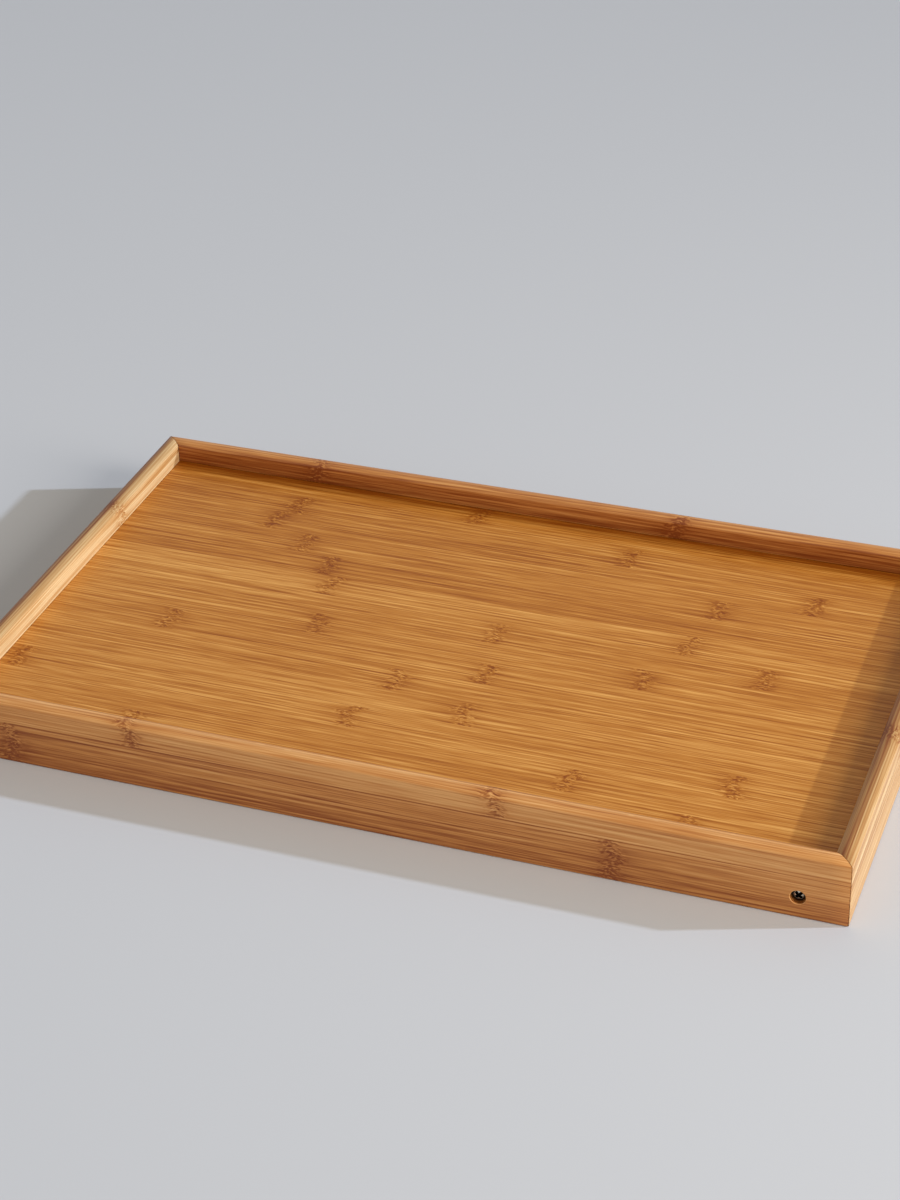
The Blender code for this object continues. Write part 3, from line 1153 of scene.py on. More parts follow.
class StripBoardRecipe(Recipe):
    """A closed board whose faces are divided along the joints between its strips."""

    def __init__(self) -> None:
        """Build the tree."""
        super().__init__("strip_board")
        self.parameter("Host", "NodeSocketGeometry")
        length = self.parameter("Length")
        width = self.parameter("Width")
        thickness = self.parameter("Thickness")
        joints = self.parameter("Joints", "NodeSocketInt")
        first_joint = self.parameter("First Joint")
        strip_width = self.parameter("Strip Width")
        stations = self.parameter("Stations", "NodeSocketInt")
        size = self.combine(length, width, thickness)
        inputs = {"Size": size, "Vertices X": stations, "Vertices Y": joints, "Vertices Z": 2}
        board = self.signal("GeometryNodeMeshCube", None, inputs)
        x, y, z = self.separate(self.signal("GeometryNodeInputPosition"))
        number = self.math("ROUND", (y / width + 0.5) * (joints - 1.0))
        edge = width / 2.0
        joint = self.math("MINIMUM", self.math("MAXIMUM", first_joint + number * strip_width, -edge), edge)
        place = self.combine(x, joint, z)
        self.close(self.signal("GeometryNodeSetPosition", None, {"Geometry": board, "Position": place}))


class ThreadRecipe(Recipe):
    """A threaded shank along Z: a grid rolled up, with its radius swelling along a helix."""

    ridge_slope: float = 3.4
    tip_power: float = 0.75
    cap_span: float = 0.00001

    def __init__(self) -> None:
        """Build the tree."""
        super().__init__("screw_thread")
        self.parameter("Host", "NodeSocketGeometry")
        length = self.parameter("Length")
        core = self.parameter("Core Radius")
        depth = self.parameter("Thread Depth")
        pitch = self.parameter("Pitch")
        plain = self.parameter("Plain Length")
        tip = self.parameter("Tip Length")
        rows = self.parameter("Rows", "NodeSocketInt")
        columns = self.parameter("Columns", "NodeSocketInt")
        inputs = {"Size X": 1.0, "Size Y": 1.0, "Vertices X": rows, "Vertices Y": columns}
        grid = self.signal("GeometryNodeMeshGrid", None, inputs)
        x, y, _ = self.separate(self.signal("GeometryNodeInputPosition"))
        down = (x + 0.5) * length
        turn = (y + 0.5) * math.tau
        phase = self.math("FRACT", down / pitch - turn / math.tau)
        ridge = self.math("MAXIMUM", 1.0 - abs(phase - 0.5) * self.ridge_slope, 0.0)
        fade_in = self._step(down, plain, pitch)
        taper = 1.0 - self._step(down, length - tip, tip)
        radius = (core + depth * ridge * fade_in) * self.math("POWER", taper, self.tip_power)
        capped = radius * self._step(down, 0.0, self.cap_span)
        cosine, sine = self.math("COSINE", turn), self.math("SINE", turn)
        place = self.combine(capped * cosine, capped * sine, down * -1.0)
        self.close(self.signal("GeometryNodeSetPosition", None, {"Geometry": grid, "Position": place}))

    def _step(self, value: Signal, start: Signal | float, span: Signal | float) -> Signal:
        """0 up to a start, then rising to 1 over a span."""
        share = (value - start) / span
        return self.math("MINIMUM", self.math("MAXIMUM", share, 0.0), 1.0)


@dataclass(frozen=True)
class RailTones:
    """How much lighter or darker a rail is, from its outer side over the rim to its inner side.

    This is mostly painted light and shade over the wood's own tone: on the short rails the halves that
    face the light are painted lighter and the halves turned away darker, and the back rail's inner side is
    painted darker where shade falls on it. The turn is where the outer half goes over into the inner one,
    in metres from the outer face.
    """

    outer_side: float
    outer_rim: float
    inner_rim: float
    inner_side: float
    turn: Point2 = (0.003, 0.007)


@dataclass
class RailFrame:
    """The four rails of the tray: two long ones that carry the leg pivots and two short ones."""

    finishes: Finishes
    body: str = "tray"
    mitre_gap: float = 0.0003
    mitre_reach: float = 0.00003
    station_pitch: float = 0.010
    edge_ease: float = 0.00016
    edge_steps: int = 2
    edge_angle: float = 50.0

    head_height: float = 0.0020
    head_clearance: float = 0.00075
    bore_radius: float = 0.0023
    bore_sides: int = 64
    bore_rings: int = 6
    cut_margin: float = 0.002
    # Painted shade in the counterbores, which grows darker with depth.
    drill_burn: float = 0.92
    drill_span: Point2 = (0.0014, 0.0046)
    mouth_ease: float = 0.00030
    mouth_reach: float = 0.0050
    mouth_slant: Point2 = (0.5, 0.9)
    mouth_wear: float = 0.8

    saw_depth: float = 0.00032
    saw_marks: int = 64
    saw_power: float = 2.5
    saw_eases_along: int = 5
    saw_eases_across: int = 4
    saw_burn: float = 0.80

    ply_joint: float = PLY_JOINT
    knots: dict[str, dict[int, Sequence[float]]] = field(
        default_factory=lambda: {
            "front_rail": {0: (-0.206, 0.130), 1: (-0.137, 0.066)},
            "back_rail": {0: (-0.062, 0.168), 1: (-0.146, 0.081)},
            "left_rail": {0: (-0.074,), 1: (0.058, -0.118)},
            "right_rail": {0: (0.047,), 1: (-0.036,)},
        }
    )
    # Painted light and shade for each rail: lighter on the sides that face the light, darker on those
    # turned away from it.
    tones: dict[str, RailTones] = field(
        default_factory=lambda: {
            "front_rail": RailTones(0.03, 0.01, -0.22, 0.0, (0.0068, 0.0086)),
            "back_rail": RailTones(0.0, -0.10, -0.20, -0.44),
            "left_rail": RailTones(0.0, -0.34, 0.12, 0.12),
            "right_rail": RailTones(0.02, -0.06, -0.34, -0.10),
        }
    )
    rim_starts: Point2 = (0.0030, 0.0012)
    # A painted highlight: a pale line along the front rail's shoulder, where the light catches the rim.
    wear_line: float = 0.0066
    wear_width: float = 0.0007

    def __post_init__(self) -> None:
        """Read the tray's sizes from the frame."""
        low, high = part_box("front_rail")
        panel_low, panel_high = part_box("tray_panel")
        tray_low, tray_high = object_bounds()
        screw_low, screw_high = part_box("right_front_pivot_screw")
        self.bore_height = (screw_low.z + screw_high.z) / 2
        self.length = tray_high.x - tray_low.x
        self.width = tray_high.y - tray_low.y
        self.section = RailSection(high.y - low.y, high.z, panel_low.z, panel_high.z)
        self.sweep = SweepRecipe()

    def _section_mesh(self) -> bpy.types.Mesh:
        """The rail's section as a closed loop of edges in XY.

        Returns:
            The loop, as a mesh without faces.
        """
        outline = self.section.outline()
        count = len(outline)
        mesh = bpy.data.meshes.new("rail_section")
        edges = [(i, (i + 1) % count) for i in range(count)]
        mesh.from_pydata([(t, z, 0) for t, z in outline], edges, [])
        return mesh

    def _rail(self, name: str, length: float, turn: float, reach: float) -> bpy.types.Object:
        """One mitred rail in its place.

        Args:
            name: The piece's name.
            length: The length of its outer face.
            turn: How far it is turned about Z from the front rail's place, in radians.
            reach: The distance from the tray's middle to its outer face.

        Returns:
            The rail.
        """
        values = {
            "Length": length,
            "Mitre Setback": self.mitre_gap / math.sqrt(2),
            "Stations": round(length / self.station_pitch) + 1,
        }
        rail = self.sweep.make(name, self._section_mesh(), values)
        ease_edges(rail, self.edge_ease, self.edge_steps, self.edge_angle)
        self._roughen_corners(rail.data, length)
        rail.data.transform(Matrix.Translation((0, -reach, 0)))
        rail.data.transform(Matrix.Rotation(turn, 4, "Z"))
        return rail

    def _roughen_corners(self, mesh: bpy.types.Mesh, length: float) -> None:
        """Leave the saw's marks on the two upright outer edges of a mitred rail.

        Args:
            mesh: The rail, lying along X with its outer face at Y 0.
            length: The length of its outer face.
        """
        rng = np.random.default_rng(round(length * MM_PER_METRE))
        pulls = self.saw_depth * rng.random(self.saw_marks) ** self.saw_power
        limit = length / 2 - self.saw_eases_along * self.edge_ease
        depth = self.saw_eases_across * self.edge_ease
        for vertex in mesh.vertices:
            if abs(vertex.co.x) > limit and vertex.co.y < depth:
                first = self.saw_marks // 2 if vertex.co.x > 0 else 0
                row = first + round(vertex.co.z / self.section.face_step)
                vertex.co.x -= math.copysign(pulls[row % self.saw_marks], vertex.co.x)

    def _pivot_cutter(self, side: Side, end: End) -> bpy.types.Object:
        """The counterbore and clearance hole of one pivot screw.

        Args:
            side: The end of the tray's length that it is at.
            end: The rail that it is in.

        Returns:
            The cutter.
        """
        low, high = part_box(f"{side.word}_{end.word}_pivot_screw")
        centre = (low + high) / 2
        radius = (high.x - low.x) / 2 + self.head_clearance
        floor = max(abs(low.y), abs(high.y)) - self.head_height - self.width / 2
        rings = [(radius, floor * step / self.bore_rings) for step in range(1, self.bore_rings + 1)]
        profile = [
            (0, self.cut_margin),
            (radius + self.mouth_ease, self.cut_margin),
            (radius + self.mouth_ease, 0),
            (radius, -self.mouth_ease),
            *rings,
            (self.bore_radius, floor),
            (self.bore_radius, -self.section.thickness - self.cut_margin),
            (0, -self.section.thickness - self.cut_margin),
        ]
        mesh = turned("pivot_cutter", profile, self.bore_sides)
        mesh.transform(Matrix.Rotation(-end.value * math.pi / 2, 4, "X"))
        mesh.transform(Matrix.Translation((centre.x, end.value * self.width / 2, centre.z)))
        return new_object("pivot_cutter", mesh)

    def _weather(self, mesh: bpy.types.Mesh, node: str) -> None:
        """Write a rail's painted light and shade, its paler places and its darkened places.

        The paler places are a painted highlight along the front rail's shoulder and the worn counterbore
        mouths;
        the darkened places are painted shade in the counterbores and the saw-browned mitre faces.

        Args:
            mesh: The rail in its place.
            node: The solid that it stands for.
        """
        spots = points_of(mesh)
        height = spots[:, 2]
        crosswise = node in ("left_rail", "right_rail")
        ends = [self.length / 2 - np.abs(spots[:, 0]), self.width / 2 - np.abs(spots[:, 1])]
        inwards, to_end = ends if crosswise else reversed(ends)

        # Painted light and shade: each rail lighter or darker by side, as the light falls on it.
        tones = self.tones[node]
        rim_low, rim_high = (self.section.height - depth for depth in self.rim_starts)
        on_rim = ramp_up(height, rim_low, rim_high)
        over = ramp_up(inwards, *tones.turn)
        side_tone = tones.outer_side + (tones.inner_side - tones.outer_side) * over
        rim_tone = tones.outer_rim + (tones.inner_rim - tones.outer_rim) * over
        write_values(mesh, "tone", "POINT", side_tone + (rim_tone - side_tone) * on_rim)

        # Painted highlight along the front rail's shoulder, with chips from the nicks.
        off_line = (inwards - self.wear_line) / self.wear_width
        shoulder = np.exp(-(off_line**2)) * on_rim * (node == "front_rail")
        write_values(mesh, "wear", "CORNER", self._with_worn_mouths(mesh, shoulder))
        # Painted shade in the counterbores; the mitre faces below get saw burn.
        burn = np.zeros(len(spots)) if crosswise else self._hole_burn(spots)
        cut = np.abs(to_end - inwards) < self.mitre_gap / math.sqrt(2) + self.mitre_reach
        write_values(mesh, "burn", "CORNER", self._with_sawn_ends(mesh, burn, cut))

    def _with_worn_mouths(self, mesh: bpy.types.Mesh, wear: np.ndarray) -> np.ndarray:
        """The paleness at a rail's corners: the painted highlight along the front rail's shoulder, with
        the eased mouths of the counterbores rubbed pale.

        Args:
            mesh: The rail.
            wear: The painted highlight of each point, along the front rail's shoulder.

        Returns:
            The painted highlight and the wear of each corner of its faces.
        """
        values = at_corners(mesh, wear)
        least, most = self.mouth_slant
        for polygon in mesh.polygons:
            slanting = least < abs(polygon.normal.y) < most
            at_face = abs(abs(polygon.center.y) - self.width / 2) < self.mouth_ease
            if slanting and at_face and abs(polygon.center.z - self.bore_height) < self.mouth_reach:
                values[list(polygon.loop_indices)] = self.mouth_wear
        return values

    def _with_sawn_ends(self, mesh: bpy.types.Mesh, burn: np.ndarray, cut: np.ndarray) -> np.ndarray:
        """The darkening at a rail's corners: painted shade in the counterbores, with the faces that lie in
        a mitre browned by the saw.

        Args:
            mesh: The rail.
            burn: The painted shade of each point, in the counterbores.
            cut: Whether each point lies in a mitre.

        Returns:
            The painted shade and the saw's browning of each corner of its faces.
        """
        values = at_corners(mesh, burn)
        for polygon in mesh.polygons:
            if cut[list(polygon.vertices)].all():
                values[list(polygon.loop_indices)] = self.saw_burn
        return values

    def _hole_burn(self, spots: np.ndarray) -> np.ndarray:
        """Painted shade in a long rail's counterbores: the darker, the deeper in.

        Args:
            spots: The rail's points.

        Returns:
            The painted shade of each point.
        """
        burn = np.zeros(len(spots))
        for side in Side:
            low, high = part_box(f"{side.word}_front_pivot_screw")
            centre = (low + high) / 2
            off_axis = np.hypot(spots[:, 0] - centre.x, spots[:, 2] - centre.z)
            inside = off_axis < (high.x - low.x) / 2 + self.head_clearance + self.mouth_ease / 2
            depth = self.width / 2 - np.abs(spots[:, 1])
            burn = np.maximum(burn, inside * self.drill_burn * ramp_up(depth, *self.drill_span))
        return burn

    def build(self) -> list[bpy.types.Object]:
        """Make the four rails.

        Returns:
            The rails.
        """
        pieces = []
        for end in End:
            node = f"{end.word}_rail"
            turn = 0.0 if end is End.FRONT else math.pi
            rail = self._rail(f"{node}_bamboo", self.length, turn, self.width / 2)
            carve(rail, [self._pivot_cutter(side, end) for side in Side])
            pieces.append(self._dressed(rail, node, Grain.LENGTHWISE, self.finishes.long_rail))
        for side in Side:
            node = f"{side.word}_rail"
            turn = side.value * math.pi / 2
            rail = self._rail(f"{node}_bamboo", self.width, turn, self.length / 2)
            pieces.append(self._dressed(rail, node, Grain.CROSSWISE, self.finishes.short_rail))
        return pieces

    def _dressed(
        self,
        rail: bpy.types.Object,
        node: str,
        grain: Grain,
        material: bpy.types.Material,
    ) -> bpy.types.Object:
        """Give a rail its grain, shading and material.

        Args:
            rail: The rail in its place.
            node: The solid that it replaces.
            grain: The direction that it runs in.
            material: Its material.

        Returns:
            The same rail.
        """
        GrainMap(grain.value, 2, 0.0, self.ply_joint, self.knots[node]).apply(rail.data)
        self._weather(rail.data, node)
        shade(rail.data)
        return dress(rail, material, self.body, node)


@dataclass
class TrayPanel:
    """The board of glued bamboo strips that the rails hold."""

    finishes: Finishes
    strip_width: float = 0.020
    first_joint: float = -0.159
    station_pitch: float = 0.010
    body: str = "tray"
    seed: int = 7
    knots: dict[int, Sequence[float]] = field(
        default_factory=lambda: {
            2: (0.095,),
            3: (-0.232, -0.036, 0.175),
            4: (0.022,),
            5: (-0.024,),
            6: (-0.166, 0.023),
            7: (-0.086, 0.104),
            8: (0.014, 0.168),
            9: (-0.094, 0.119),
            10: (-0.103,),
            11: (-0.127, 0.125),
            12: (-0.155, 0.175),
            13: (-0.147, 0.061),
            14: (-0.040,),
        }
    )
    # Lightness of each strip, given strip by strip: partly the strips' own tone, and partly painted shade
    # that darkens the far strips where less light reaches them.
    shades: dict[int, float] = field(
        default_factory=lambda: {
            2: -0.02, 3: -0.02, 4: 0.06, 6: -0.04, 7: -0.01, 8: -0.02,
            9: 0.06, 10: -0.13, 11: -0.04, 12: -0.05, 13: -0.15, 14: -0.12,
        }
    )

    def build(self) -> list[bpy.types.Object]:
        """Make the board.

        Returns:
            A list with the board alone.
        """
        low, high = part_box("tray_panel")
        size = high - low
        joints = math.ceil((size.y / 2 - self.first_joint) / self.strip_width) + 1
        values = {
            "Length": size.x,
            "Width": size.y,
            "Thickness": size.z,
            "Joints": joints,
            "First Joint": self.first_joint,
            "Strip Width": self.strip_width,
            "Stations": round(size.x / self.station_pitch) + 1,
        }
        board = StripBoardRecipe().make("tray_panel_bamboo", bpy.data.meshes.new("panel_host"), values)
        board.data.transform(Matrix.Translation((low + high) / 2))
        grain = GrainMap(
            along=Grain.LENGTHWISE.value,
            across=Grain.CROSSWISE.value,
            first_joint=self.first_joint,
            pitch=self.strip_width,
            knots=self.knots,
            seed=self.seed,
            shades=self.shades,
        )
        grain.apply(board.data)
        shade(board.data)
        return [dress(board, self.finishes.panel, self.body, "tray_panel")]


@dataclass
class StopBlocks:
    """The four glued blocks that the unfolded legs rest on."""

    finishes: Finishes
    body: str = "tray"
    edge_ease: float = 0.0005
    edge_steps: int = 3
    ply: float = 0.0120
    knot_beyond: float = 0.30

    def _outline(self, node: str) -> list[Point2]:
        """A block's outline in X and Z, from the corners of its solid.

        Args:
            node: The solid.

        Returns:
            The corners, in order round the block.
        """
        corners = {(round(v.co.x, 6), round(v.co.z, 6)) for v in frame["nodes"][node].data.vertices}
        middle = np.mean(list(corners), axis=0)
        return sorted(corners, key=lambda p: math.atan2(p[1] - middle[1], p[0] - middle[0]))

    def _block(self, node: str) -> bpy.types.Object:
        """One block, of plies whose nearest knots lie beyond it.

        Args:
            node: The solid that it replaces.

        Returns:
            The block.
        """
        low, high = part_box(node)
        mesh = prism(f"{node}_bamboo", self._outline(node), low.y, high.y)
        block = ease_edges(new_object(mesh.name, mesh), self.edge_ease, self.edge_steps)
        knots = {ply: (self.knot_beyond,) for ply in range(2)}
        GrainMap(1, 2, 0.0, self.ply, knots).apply(block.data)
        shade(block.data)
        return dress(block, self.finishes.crosspiece, self.body, node)

    def build(self) -> list[bpy.types.Object]:
        """Make the four blocks."""
        return [self._block(f"{side.word}_{end.word}_stop_block") for side in Side for end in End]


@dataclass
class LegFrame:
    """One folding leg frame: two legs, the crossbar between them, and their pivot screws and washers."""

    side: Side
    finishes: Finishes
    thread: ThreadRecipe
    fit_gap: float = 0.0003
    foot_splay: float = math.radians(5.0)

    edge_ease: float = 0.0010
    edge_steps: int = 4
    edge_angle: float = 45.0
    round_steps: int = 32
    bore_sides: int = 48
    cut_margin: float = 0.002
    socket_wall: float = 0.004
    tip_wall: float = 0.003
    leg_ply: float = 0.010
    leg_knots: Point2 = (0.115, 0.138)
    leg_seed: int = 3

    tenon_radius: float = 0.004
    bar_ease: float = 0.0008
    bar_ease_steps: int = 4
    bar_rings: int = 8
    bar_sides: int = 72
    bar_strip: float = 1.0
    bar_knots: Point2 = (0.064, -0.118)
    bar_seed: int = 5

    shank_radius: float = 0.0020
    shank_overlap: float = 0.0008
    plain_length: float = 0.0045
    tip_length: float = 0.003
    thread_pitch: float = 0.0014
    thread_depth: float = 0.0006
    thread_rows: int = 220
    thread_columns: int = 41

    head_height: float = 0.0020
    head_crown: float = 0.0010
    head_base: float = 0.0003
    head_edge: float = 0.0004
    edge_shares: tuple[float, float, float] = (0.5, 0.45, 0.4)
    head_sides: int = 64
    crown_steps: int = 12
    head_angle: float = 35.0

    recess_span: float = 0.0056
    recess_slot: float = 0.0017
    recess_depth: float = 0.0015
    recess_turn: float = math.radians(45.0)
    recess_flare: float = 1.15
    recess_taper: Point2 = (0.42, 0.75)
    recess_margin: float = 0.0004

    # Painted shade: the cross recess is painted dark, and the head darker towards its rim, where the gap
    # round it lies in shade.
    grime_reach: float = 0.58
    grime_skin: float = 0.00006
    rim_grime: float = 0.92
    rim_grime_start: float = 0.0022
    rim_grime_width: float = 0.0006

    washer_bore: float = 0.0023
    washer_ease: float = 0.00025
    washer_sides: int = 64

    def __post_init__(self) -> None:
        """Read the frame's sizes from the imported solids."""
        self.word = self.side.word
        self.body = f"{self.word}_legs"
        joint = next(j for j in frame["joints"] if j["child"] == self.body)
        self.pivot = Vector(joint["pos_m"])
        self.leg_low, self.leg_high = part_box(f"{self.word}_front_leg")
        self.radius = (self.leg_high.z - self.leg_low.z) / 2
        self.bar_low, self.bar_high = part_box(f"{self.word}_crossbar")
        self.bar_centre = (self.bar_low + self.bar_high) / 2
        screw_low, screw_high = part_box(f"{self.word}_front_pivot_screw")
        self.head_radius = (screw_high.x - screw_low.x) / 2
        self.crown_radius = (self.head_radius**2 + self.head_crown**2) / (2 * self.head_crown)

    def _foot_x(self, height: float) -> float:
        """Where the folded leg's slanting foot lies along X.

        Args:
            height: The height at which it is asked for.

        Returns:
            The foot's place.
        """
        inward = -self.side.value
        toe = self.leg_high.x if inward > 0 else self.leg_low.x
        return toe - inward * (height - self.leg_low.z) * math.tan(self.foot_splay)

    def _outline(self) -> list[Point2]:
        """A folded leg in X and Z: round at the pivot, and with a foot that lies level when it is splayed.

        Returns:
            The points, in order round the leg.
        """
        turn = arc((0, 0), self.radius, math.pi / 2, 3 * math.pi / 2, self.round_steps)
        round_end = [(self.pivot.x - self.side.value * x, self.pivot.z + z) for x, z in turn]
        return round_end + [(self._foot_x(height), height) for height in (self.leg_low.z, self.leg_high.z)]

    def _round_cutter(self, x: float, radius: float, near: float, far: float) -> bpy.types.Object:
        """A round cutter along Y at the pivot's height.

        Args:
            x: Its axis's place along X.
            radius: Its radius.
            near: One end along Y.
            far: The other end.

        Returns:
            The cutter.
        """
        mesh = turned("bore", [(0, far), (radius, far), (radius, near), (0, near)], self.bore_sides)
        mesh.transform(Matrix.Rotation(-math.pi / 2, 4, "X"))
        mesh.transform(Matrix.Translation((x, 0, self.pivot.z)))
        return new_object("bore", mesh)

    def _leg(self, end: End) -> bpy.types.Object:
        """One leg, with its screw's bore and the crossbar's socket.

        Args:
            end: The end of the frame that it is at.

        Returns:
            The leg.
        """
        node = f"{self.word}_{end.word}_leg"
        low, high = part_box(node)
        mesh = prism(f"{node}_bamboo", self._outline(), low.y, high.y)
        leg = ease_edges(new_object(mesh.name, mesh), self.edge_ease, self.edge_steps, self.edge_angle)
        inner, outer = sorted((low.y, high.y), key=abs)
        step = end.value
        bore = (inner + step * (self.tip_wall - self.fit_gap), outer + step * self.cut_margin)
        socket = (inner - step * self.cut_margin, outer - step * self.socket_wall)
        cutters = [
            self._round_cutter(self.pivot.x, self.shank_radius + self.fit_gap, *bore),
            self._round_cutter(self.bar_centre.x, self.tenon_radius + self.fit_gap, *socket),
        ]
        carve(leg, cutters)
        knots = {ply: (self.side.value * place,) for ply, place in zip((-1, 0), self.leg_knots)}
        GrainMap(0, 1, (low.y + high.y) / 2, self.leg_ply, knots, self.leg_seed).apply(leg.data)
        shade(leg.data)
        return dress(leg, self.finishes.leg, self.body, node)

    def _rounded(self, radius: float, height: float) -> list[Point2]:
        """The eased outer edge of a turned step, from its face at this height down to its side."""
        centre = (radius - self.bar_ease, height - self.bar_ease)
        return arc(centre, self.bar_ease, math.pi / 2, 0, self.bar_ease_steps)[1:]

    def _crossbar(self) -> bpy.types.Object:
        """The turned dowel with a tenon at each end.

        Returns:
            The crossbar.
        """
        name = f"{self.word}_crossbar"
        radius = (self.bar_high.x - self.bar_low.x) / 2
        shoulder = min(abs(self.leg_low.y), abs(self.leg_high.y)) - self.fit_gap
        tip = self.bar_high.y
        half = [(0, tip), (self.tenon_radius - self.bar_ease, tip)]
        half += self._rounded(self.tenon_radius, tip)
        half += [(self.tenon_radius, shoulder), (radius - self.bar_ease, shoulder)]
        half += self._rounded(radius, shoulder)
        shares = [1 - i / self.bar_rings for i in range(1, self.bar_rings + 1)]
        half += [(radius, shoulder * share - self.bar_ease * share) for share in shares]
        profile = half + [(r, -z) for r, z in reversed(half[:-1])]
        mesh = turned(f"{name}_bamboo", profile, self.bar_sides)
        mesh.transform(Matrix.Rotation(math.pi / 2, 4, "X"))
        mesh.transform(Matrix.Translation((self.bar_centre.x, 0, self.bar_centre.z)))
        GrainMap(1, 2, 0.0, self.bar_strip, {0: self.bar_knots}, self.bar_seed).apply(mesh)
        shade(mesh)
        return dress(new_object(mesh.name, mesh), self.finishes.crosspiece, self.body, name)

    def _head(self) -> bpy.types.Object:
        """A domed screw head with a tapered cross recess, its underside at height 0.

        Returns:
            The head.
        """
        radius, edge = self.head_radius, self.head_edge
        crown_inset, crown_drop, base_inset = (edge * share for share in self.edge_shares)
        spread = math.asin((radius - crown_inset) / self.crown_radius)
        centre = (0, self.head_height - self.crown_radius)
        crown = arc(centre, self.crown_radius, math.pi / 2, math.pi / 2 - spread, self.crown_steps)
        side = [(radius, crown[-1][1] - crown_drop), (radius, edge), (radius - base_inset, self.head_base)]
        profile = [(0, self.head_height)] + crown[1:] + side + [(0, self.head_base)]
        head = new_object("screw_head", turned("screw_head", profile, self.head_sides))
        return carve(head, [self._recess_arm(i) for i in range(2)])

    def _recess_arm(self, index: int) -> bpy.types.Object:
        """One arm of the cross recess: wide at the top and drawn in towards its floor.

        Args:
            index: Its number, 0 or 1. Each is a quarter turn further.

        Returns:
            The cutter.
        """
        half, slot = self.recess_span / 2, self.recess_slot / 2
        rim = [(half, slot), (-half, slot), (-half, -slot), (half, -slot)]
        high, low = self.head_height + self.recess_margin, self.head_height - self.recess_depth
        narrow_x, narrow_y = self.recess_taper
        points = [(x * self.recess_flare, y * self.recess_flare, high) for x, y in rim]
        points += [(x * narrow_x, y * narrow_y, low) for x, y in rim]
        faces = [(0, 1, 2, 3), (4, 5, 6, 7)] + [(i, (i + 1) % 4, 4 + (i + 1) % 4, 4 + i) for i in range(4)]
        mesh = mesh_from(points, faces, "recess_arm")
        mesh.transform(Matrix.Rotation(self.recess_turn + index * math.pi / 2, 4, "Z"))
        return new_object("recess_arm", mesh)

    def _screw(self, end: End) -> bpy.types.Object:
        """A pivot screw: its head, and the threaded shank that bites into the leg.

        Args:
            end: The end of the frame that it is at.

        Returns:
            The screw.
        """
        node = f"{self.word}_{end.word}_pivot_screw"
        low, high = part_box(node)
        values = {
            "Length": high.y - low.y - self.head_height + self.shank_overlap,
            "Core Radius": self.shank_radius - self.thread_depth,
            "Thread Depth": self.thread_depth,
            "Pitch": self.thread_pitch,
            "Plain Length": self.plain_length,
            "Tip Length": self.tip_length,
            "Rows": self.thread_rows,
            "Columns": self.thread_columns,
        }
        shank = self.thread.make(f"{node}_shank", bpy.data.meshes.new("thread_host"), values)
        shank.data.transform(Matrix.Translation((0, 0, self.shank_overlap)))
        screw = self._head()
        union = screw.modifiers.new("join", "BOOLEAN")
        union.operation = "UNION"
        union.object = shank
        settle(screw)
        bpy.data.objects.remove(shank)
        screw.name = f"{node}_steel"
        self._grime(screw.data)
        seat = end.value * (abs(low.y if end is End.FRONT else high.y) - self.head_height)
        screw.data.transform(Matrix.Rotation(-end.value * math.pi / 2, 4, "X"))
        screw.data.transform(Matrix.Translation((self.pivot.x, seat, self.pivot.z)))
        shade(screw.data, self.head_angle)
        return dress(screw, self.finishes.steel, self.body, node)

    def _grime(self, mesh: bpy.types.Mesh) -> None:
        """Paint shade on each face of a screw: the recess is painted dark, and the head darker towards its
        rim, where the gap round it lies in shade.

        Args:
            mesh: The screw, with its head's underside at height 0.
        """
        shares = []
        for polygon in mesh.polygons:
            x, y, z = polygon.center
            off_axis = math.hypot(x, y)
            crown = self.head_height - self.crown_radius + math.sqrt(self.crown_radius**2 - off_axis**2)
            sunk = off_axis < self.recess_span * self.grime_reach and 0 < z < crown - self.grime_skin
            rise = min(max((off_axis - self.rim_grime_start) / self.rim_grime_width, 0.0), 1.0)
            shares.append(1.0 if sunk else rise * self.rim_grime * (z > 0))
        write_values(mesh, "grime", "FACE", np.array(shares))

    def _washer(self, end: End) -> bpy.types.Object:
        """The washer between the leg and the rail.

        Args:
            end: The end of the frame that it is at.

        Returns:
            The washer.
        """
        node = f"{self.word}_{end.word}_washer"
        low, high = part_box(node)
        outer, half, ease = (high.x - low.x) / 2, (high.y - low.y) / 2, self.washer_ease
        profile = [(self.washer_bore, half), (outer - ease, half), (outer, half - ease)]
        profile += [(outer, ease - half), (outer - ease, -half), (self.washer_bore, -half)]
        mesh = turned(f"{node}_steel", profile, self.washer_sides, ring=True)
        mesh.transform(Matrix.Rotation(math.pi / 2, 4, "X"))
        mesh.transform(Matrix.Translation((low + high) / 2))
        shade(mesh)
        return dress(new_object(mesh.name, mesh), self.finishes.steel, self.body, node)

    def foot_marks(self) -> list[bpy.types.Object]:
        """Empties at the two edges of a foot, which move with the legs and take the floor down with them.

        Returns:
            The empties.
        """
        marks = []
        for height in (self.leg_low.z, self.leg_high.z):
            mark = bpy.data.objects.new(f"{self.word}_foot_mark", None)
            bpy.context.scene.collection.objects.link(mark)
            mark.location = (self._foot_x(height), 0, height)
            marks.append(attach(mark, self.body))
        return marks

    def build(self) -> list[bpy.types.Object]:
        """Make the leg frame's seven pieces.

        Returns:
            The pieces.
        """
        pieces = [self._crossbar()]
        for end in End:
            pieces += [self._leg(end), self._screw(end), self._washer(end)]
        return pieces


